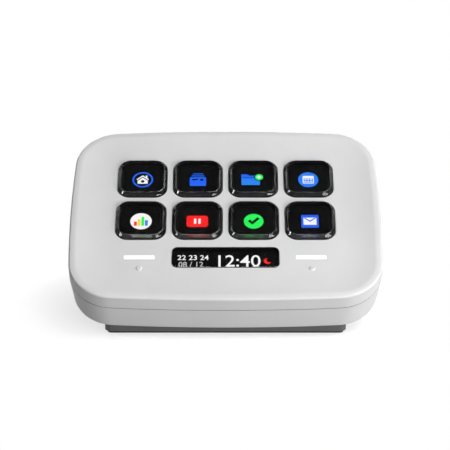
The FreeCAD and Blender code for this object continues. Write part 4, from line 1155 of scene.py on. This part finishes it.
# %% Lay the pictures under the caps and the lens
def lay_picture(name, draw, place, level):
    """Draw a picture, give each shape its colour, and lay it on its film as one piece."""
    SHAPES.clear()
    draw()
    flats = []
    for shape, shade, layer in SHAPES:
        shape.data.materials.clear()
        shape.data.materials.append(LIT[shade])
        flats.append(lean(shape, Matrix.Translation((place.x, place.y, level + layer * LAYER))))
    picture = join(name, flats)
    return lean(picture)


film_top = face_span("key_film_1")[1].z
PICTURE_PIECES = {number: lay_picture(f"picture_{number}", draw, KEY_PLACES[number], film_top)
                  for number, draw in PICTURES.items()}
info_panel_top = face_span("info_display")[1].z
clock = lay_picture("clock", draw_clock, info_place, info_panel_top)
print(len(PICTURE_PIECES), "pictures laid, clock at", round(info_panel_top / MM, 2), "mm")

# %% [markdown]
# ## Finishes inside
#
# The parts inside are seen in the gaps, in other poses and when the model is taken apart.
# They are carried over as they are, and each gets the finish of the real thing: green
# board, silicone, steel, amber ribbon and grey foam. The films under the keys are smoked
# acrylic in the record, and look black.

# %% Inner finishes
def make_metal(name, shade, roughness, brushed=(1, 1, 0.05)):
    """Make a brushed metal; brushed says how the grain is stretched."""
    finish = new_finish(name)
    brush = finish.grain(2400, 3, stretch=brushed)
    cloud = finish.grain(80, 3)
    tone = finish.tone(cloud, tuple(0.92 * x for x in shade), shade)
    return finish.surface(Base_Color=tone, Metallic=1.0, Roughness=roughness + 0.16 * brush,
                          Normal=finish.bump(brush, 0.004 * MM, 0.3))


def make_soft(name, dark, light, roughness, scale, depth):
    """Make a matt finish with a grain, for foam, silicone, acrylic or ribbon."""
    finish = new_finish(name)
    grain = finish.grain(scale, 3)
    tone = finish.tone(grain, dark, light)
    return finish.surface(Base_Color=tone, Roughness=roughness + 0.1 * grain,
                          Normal=finish.bump(grain, depth, 0.4))


def make_board_green():
    """Make a green board with its tracks."""
    finish = new_finish("green_board")
    place = finish.add("ShaderNodeTexCoord", output="Object")
    tracks = finish.add("ShaderNodeTexBrick", {"offset": 0.37}, {
        "Vector": place, "Scale": 1.0, "Mortar Size": 0.1 * MM, "Brick Width": 5.1 * MM,
        "Row Height": 0.8 * MM, "Color1": (0.01, 0.11, 0.04, 1), "Color2": (0.012, 0.13, 0.05, 1),
        "Mortar": (0.03, 0.21, 0.08, 1),
    })
    weave = finish.grain(1800, 2)
    return finish.surface(Base_Color=tracks, Roughness=0.34 + 0.12 * weave, Coat_Weight=0.3,
                          Normal=finish.bump(weave, 0.02 * MM, 0.3))


FINISHES = {
    "shell_white": shell_white,
    "stand_grey": stand_grey,
    "pad_rubber": pad_rubber,
    "key_clear": key_clear,
    "key_black": key_black,
    "mat_silicone": make_soft("dark_silicone", (0.03, 0.03, 0.032), (0.04, 0.04, 0.042), 0.5, 900,
                              0.02 * MM),
    "board_green": make_board_green(),
    "chip_black": make_black("black_chips", 0.014, 0.5),
    "panel_glass": make_black("dark_glass", 0.006, 0.2, shine=0.1),
    "lens_black": make_black("black_paint", 0.003, 0.5, shine=0.05),
    "guide_clear": make_soft("pale_acrylic", (0.7, 0.72, 0.74), (0.78, 0.8, 0.82), 0.2, 700,
                             0.01 * MM),
    "bar_milky": make_lit("milky_bar", (1.0, 1.0, 1.0, 1), 1.15),
    "tray_steel": make_metal("brushed_tray", (0.62, 0.63, 0.65), 0.3),
    "ballast_steel": make_metal("plain_steel", (0.45, 0.46, 0.48), 0.38),
    "screw_steel": make_metal("turned_steel", (0.6, 0.6, 0.62), 0.25),
    "socket_steel": make_metal("bright_steel", (0.7, 0.71, 0.72), 0.22),
    "ribbon_amber": make_soft("amber_film", (0.42, 0.16, 0.02), (0.52, 0.22, 0.03), 0.35, 1500,
                              0.006 * MM),
    "foam_grey": make_soft("grey_foam", (0.1, 0.1, 0.11), (0.16, 0.16, 0.17), 0.8, 2200,
                           0.08 * MM),
    "lamp_white": make_soft("pale_lamp", (0.75, 0.72, 0.5), (0.85, 0.82, 0.62), 0.4, 1200,
                            0.01 * MM),
}

slot_of = {part["node"]: part["material_slot"] for part in frame["record"]["subparts"]}
print(len(FINISHES), "finishes for", len(set(slot_of.values())), "slots")

# %% Give every carried-over solid its finish
for name, node in NODES.items():
    for material_slot in node.material_slots:
        material_slot.material = film_black if name.startswith("key_film") else FINISHES[slot_of[name]]
print(len(NODES), "solids finished")

# %% [markdown]
# ## What each piece stands for
#
# A new piece rides on the body that carries it, takes the place of the solid that it stands for,
# and names the material slot that its finish belongs to. With that, a key that is pressed takes
# its cap and its picture along, while the domes stay with the housing.

# %% Tie the pieces to the solids
def dress(piece, body, finish_name, *nodes, second=None):
    """Let a piece ride on a body in the place of some solids, and fill its empty material slots."""
    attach(piece, body)
    if nodes:
        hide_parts(*nodes)
    if not piece.data.materials:
        piece.data.materials.append(None)
    for index, finish in enumerate(piece.data.materials):
        if finish is None:
            piece.data.materials[index] = second if index else FINISHES[finish_name]
    return piece


dress(front_shell, "housing", "shell_white", "front_shell")
# The tub's second slot holds the painted seam shade on its lip.
dress(rear_shell, "housing", "shell_white", "rear_shell", second=seam_painted_shade)
dress(stand, "housing", "stand_grey", "stand_shell")
dress(foot_pad, "housing", "pad_rubber", "foot_pad")
dress(web, "housing", "mat_silicone", "dome_mat")
dress(lens, "housing", "key_clear", "info_window", second=FINISHES["lens_black"])
dress(clock, "housing", "panel_glass")
for side, bar in BARS.items():
    dress(bar, "housing", "bar_milky", f"light_bar_{side}")
for number in KEY_PLACES:
    body = f"key_{number}"
    dress(CAPS[number], body, "key_clear", f"keycap_{number}", second=mask_black)
    dress(PICTURE_PIECES[number], body, "key_black")
    dress(DOMES[number], "housing", "mat_silicone", "dome_mat")
    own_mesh(DOMES[number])
print("pieces tied to their bodies")

# %% [markdown]
# ## Floor
#
# The keypad stands on a white sweep that runs into a white background. A floor lit to white would
# need so much light that the keypad would burn out. So the floor's own colour does it: the rays
# that show it, seen straight, in a gloss or through glass, meet a surface that turns to plain
# white with the distance. Only near the stand, within an oval, is it a lifted grey that
# holds the shadow. All other rays meet a matt grey, which throws a little light up to the walls.

# %% Floor
FLOOR_REACH = 2.5
BOUNCE_SHADE = 0.4
SEEN_SHADE = 0.6
SEEN_LIFT = 0.66
OVAL = (0.72, 1, 1)
SHADOW_START = 0.036
SHADOW_END = 0.054

bpy.ops.object.select_all(action="DESELECT")
bpy.ops.mesh.primitive_circle_add(vertices=96, radius=FLOOR_REACH, fill_type="NGON")
floor = bpy.context.active_object
floor.name = "floor"


def seen_white(finish):
    """Give 1 for rays that show the background: seen straight, in a gloss or through glass."""
    paths = [finish.add("ShaderNodeLightPath", output=name)
             for name in ("Is Camera Ray", "Is Glossy Ray", "Is Transmission Ray")]
    return finish.add("ShaderNodeClamp", None, {"Value": paths[0] + paths[1] + paths[2]})


def make_floor():
    """Make a floor that is seen white and holds a shadow, but lights the keypad as a grey one."""
    finish = new_finish("floor_white")
    matt = finish.add("ShaderNodeBsdfDiffuse", None, {"Color": (BOUNCE_SHADE,) * 3 + (1,)})
    shade = finish.add("ShaderNodeBsdfDiffuse", None, {"Color": (SEEN_SHADE,) * 3 + (1,)})
    lift = finish.add("ShaderNodeEmission", None, {"Color": (1, 1, 1, 1), "Strength": SEEN_LIFT})
    lifted = finish.add("ShaderNodeAddShader", None, {0: shade, 1: lift})
    white = finish.add("ShaderNodeEmission", None, {"Color": (1, 1, 1, 1), "Strength": 1.0})
    place = finish.add("ShaderNodeTexCoord", output="Object")
    oval = finish.add("ShaderNodeVectorMath", {"operation": "MULTIPLY"}, {0: place, 1: OVAL})
    distance = finish.add("ShaderNodeVectorMath", {"operation": "LENGTH"}, {0: oval}, output="Value")
    far = finish.add("ShaderNodeMapRange", None, {"Value": distance, "From Min": SHADOW_START,
                                                  "From Max": SHADOW_END})
    shown = finish.add("ShaderNodeMixShader", None, {0: far, 1: lifted, 2: white})
    surface = finish.add("ShaderNodeMixShader", None, {0: seen_white(finish), 1: matt, 2: shown})
    finish.add("ShaderNodeOutputMaterial", None, {"Surface": surface})
    return finish.owner


floor.data.materials.append(make_floor())
print("floor", 2 * FLOOR_REACH, "m across")

# %% [markdown]
# ## World and lamps
#
# The world is seen as white near the horizon and as a dark ceiling above it, so that glossy black
# keys stay black, and it hardly lights anything. Lamps do that. A strip low on the right
# gives the walls their fall from right to left, a square one above it lights the face, and a
# faint one from behind keeps the back from going black. Two more are for gloss alone, the
# glints in the keys' bevels: they are hidden from diffuse surfaces, so they add no light there.

# %% World and lamps
ROOM_LIGHT = 0.015
HORIZON = (0.1, (1, 1, 1))
CEILING = (0.3, (0.04, 0.04, 0.04))
LAMP_AIM = Vector((0, 0, 0.02))


def make_world():
    """Make a world that is seen as a white horizon under a dark ceiling."""
    world = bpy.data.worlds.new("studio")
    bpy.context.scene.world = world
    finish = Finish(world)
    way = finish.add("ShaderNodeTexCoord", output="Generated")
    height = finish.add("ShaderNodeSeparateXYZ", None, {"Vector": way}, output="Z")
    sky = finish.ramp(height, HORIZON, CEILING)
    room = finish.add("ShaderNodeBackground", None, {"Color": (1, 1, 1, 1), "Strength": ROOM_LIGHT})
    shown = finish.add("ShaderNodeBackground", None, {"Color": sky, "Strength": 1.0})
    both = finish.add("ShaderNodeMixShader", None, {0: seen_white(finish), 1: room, 2: shown})
    finish.add("ShaderNodeOutputWorld", None, {"Surface": both})


def add_lamp(name, place, width, height, power, only_gloss=False):
    """Hang a soft lamp at a place and aim it at the keypad. Sizes are in metres, power in watts."""
    bpy.ops.object.light_add(type="AREA", location=place)
    lamp = bpy.context.active_object
    lamp.name = name
    lamp.data.shape = "RECTANGLE"
    lamp.data.size = width
    lamp.data.size_y = height
    lamp.data.energy = power
    lamp.rotation_euler = (LAMP_AIM - Vector(place)).to_track_quat("-Z", "Y").to_euler()
    lamp.visible_diffuse = not only_gloss


make_world()
add_lamp("low_strip", place=(0.39, -0.45, 0.10), width=0.5, height=0.18, power=2.42)
add_lamp("top_light", place=(0.35, -0.3, 0.7), width=0.4, height=0.4, power=3.85)
add_lamp("left_glint", place=(-0.52, -0.25, 0.22), width=0.13, height=0.13, power=0.9, only_gloss=True)
add_lamp("back_strip", place=(0, 0.29, 0.64), width=1.2, height=0.14, power=1.3, only_gloss=True)
add_lamp("rear_fill", place=(0, 0.6, 0.16), width=0.9, height=0.25, power=2.2)

# %% [markdown]
# ## Camera
#
# The view was worked out from the outline, the keys and the seam: the camera looks at the face
# from 41.5 degrees off its normal, from 600 mm away, through a long lens.

# %% Camera
VIEW_ANGLE = 41.5
VIEW_DISTANCE = 600 * MM
LENS = 138.96
SHIFT = (-0.0011, -0.0254)

face_origin = FACE.translation
view_out = (face_out * cos(radians(VIEW_ANGLE)) - face_up * sin(radians(VIEW_ANGLE))).normalized()
view_up = face_up * cos(radians(VIEW_ANGLE)) + face_out * sin(radians(VIEW_ANGLE))
bpy.ops.object.camera_add()
camera = bpy.context.active_object
camera.data.lens = LENS
camera.data.shift_x, camera.data.shift_y = SHIFT
camera.data.clip_start = 0.01
axes = Matrix((face_right, view_up, view_out)).transposed().to_4x4()
camera.matrix_world = Matrix.Translation(face_origin + VIEW_DISTANCE * view_out) @ axes
bpy.context.scene.camera = camera
bpy.context.scene.view_settings.view_transform = "Standard"
print("camera at", [round(x, 4) for x in camera.matrix_world.translation])
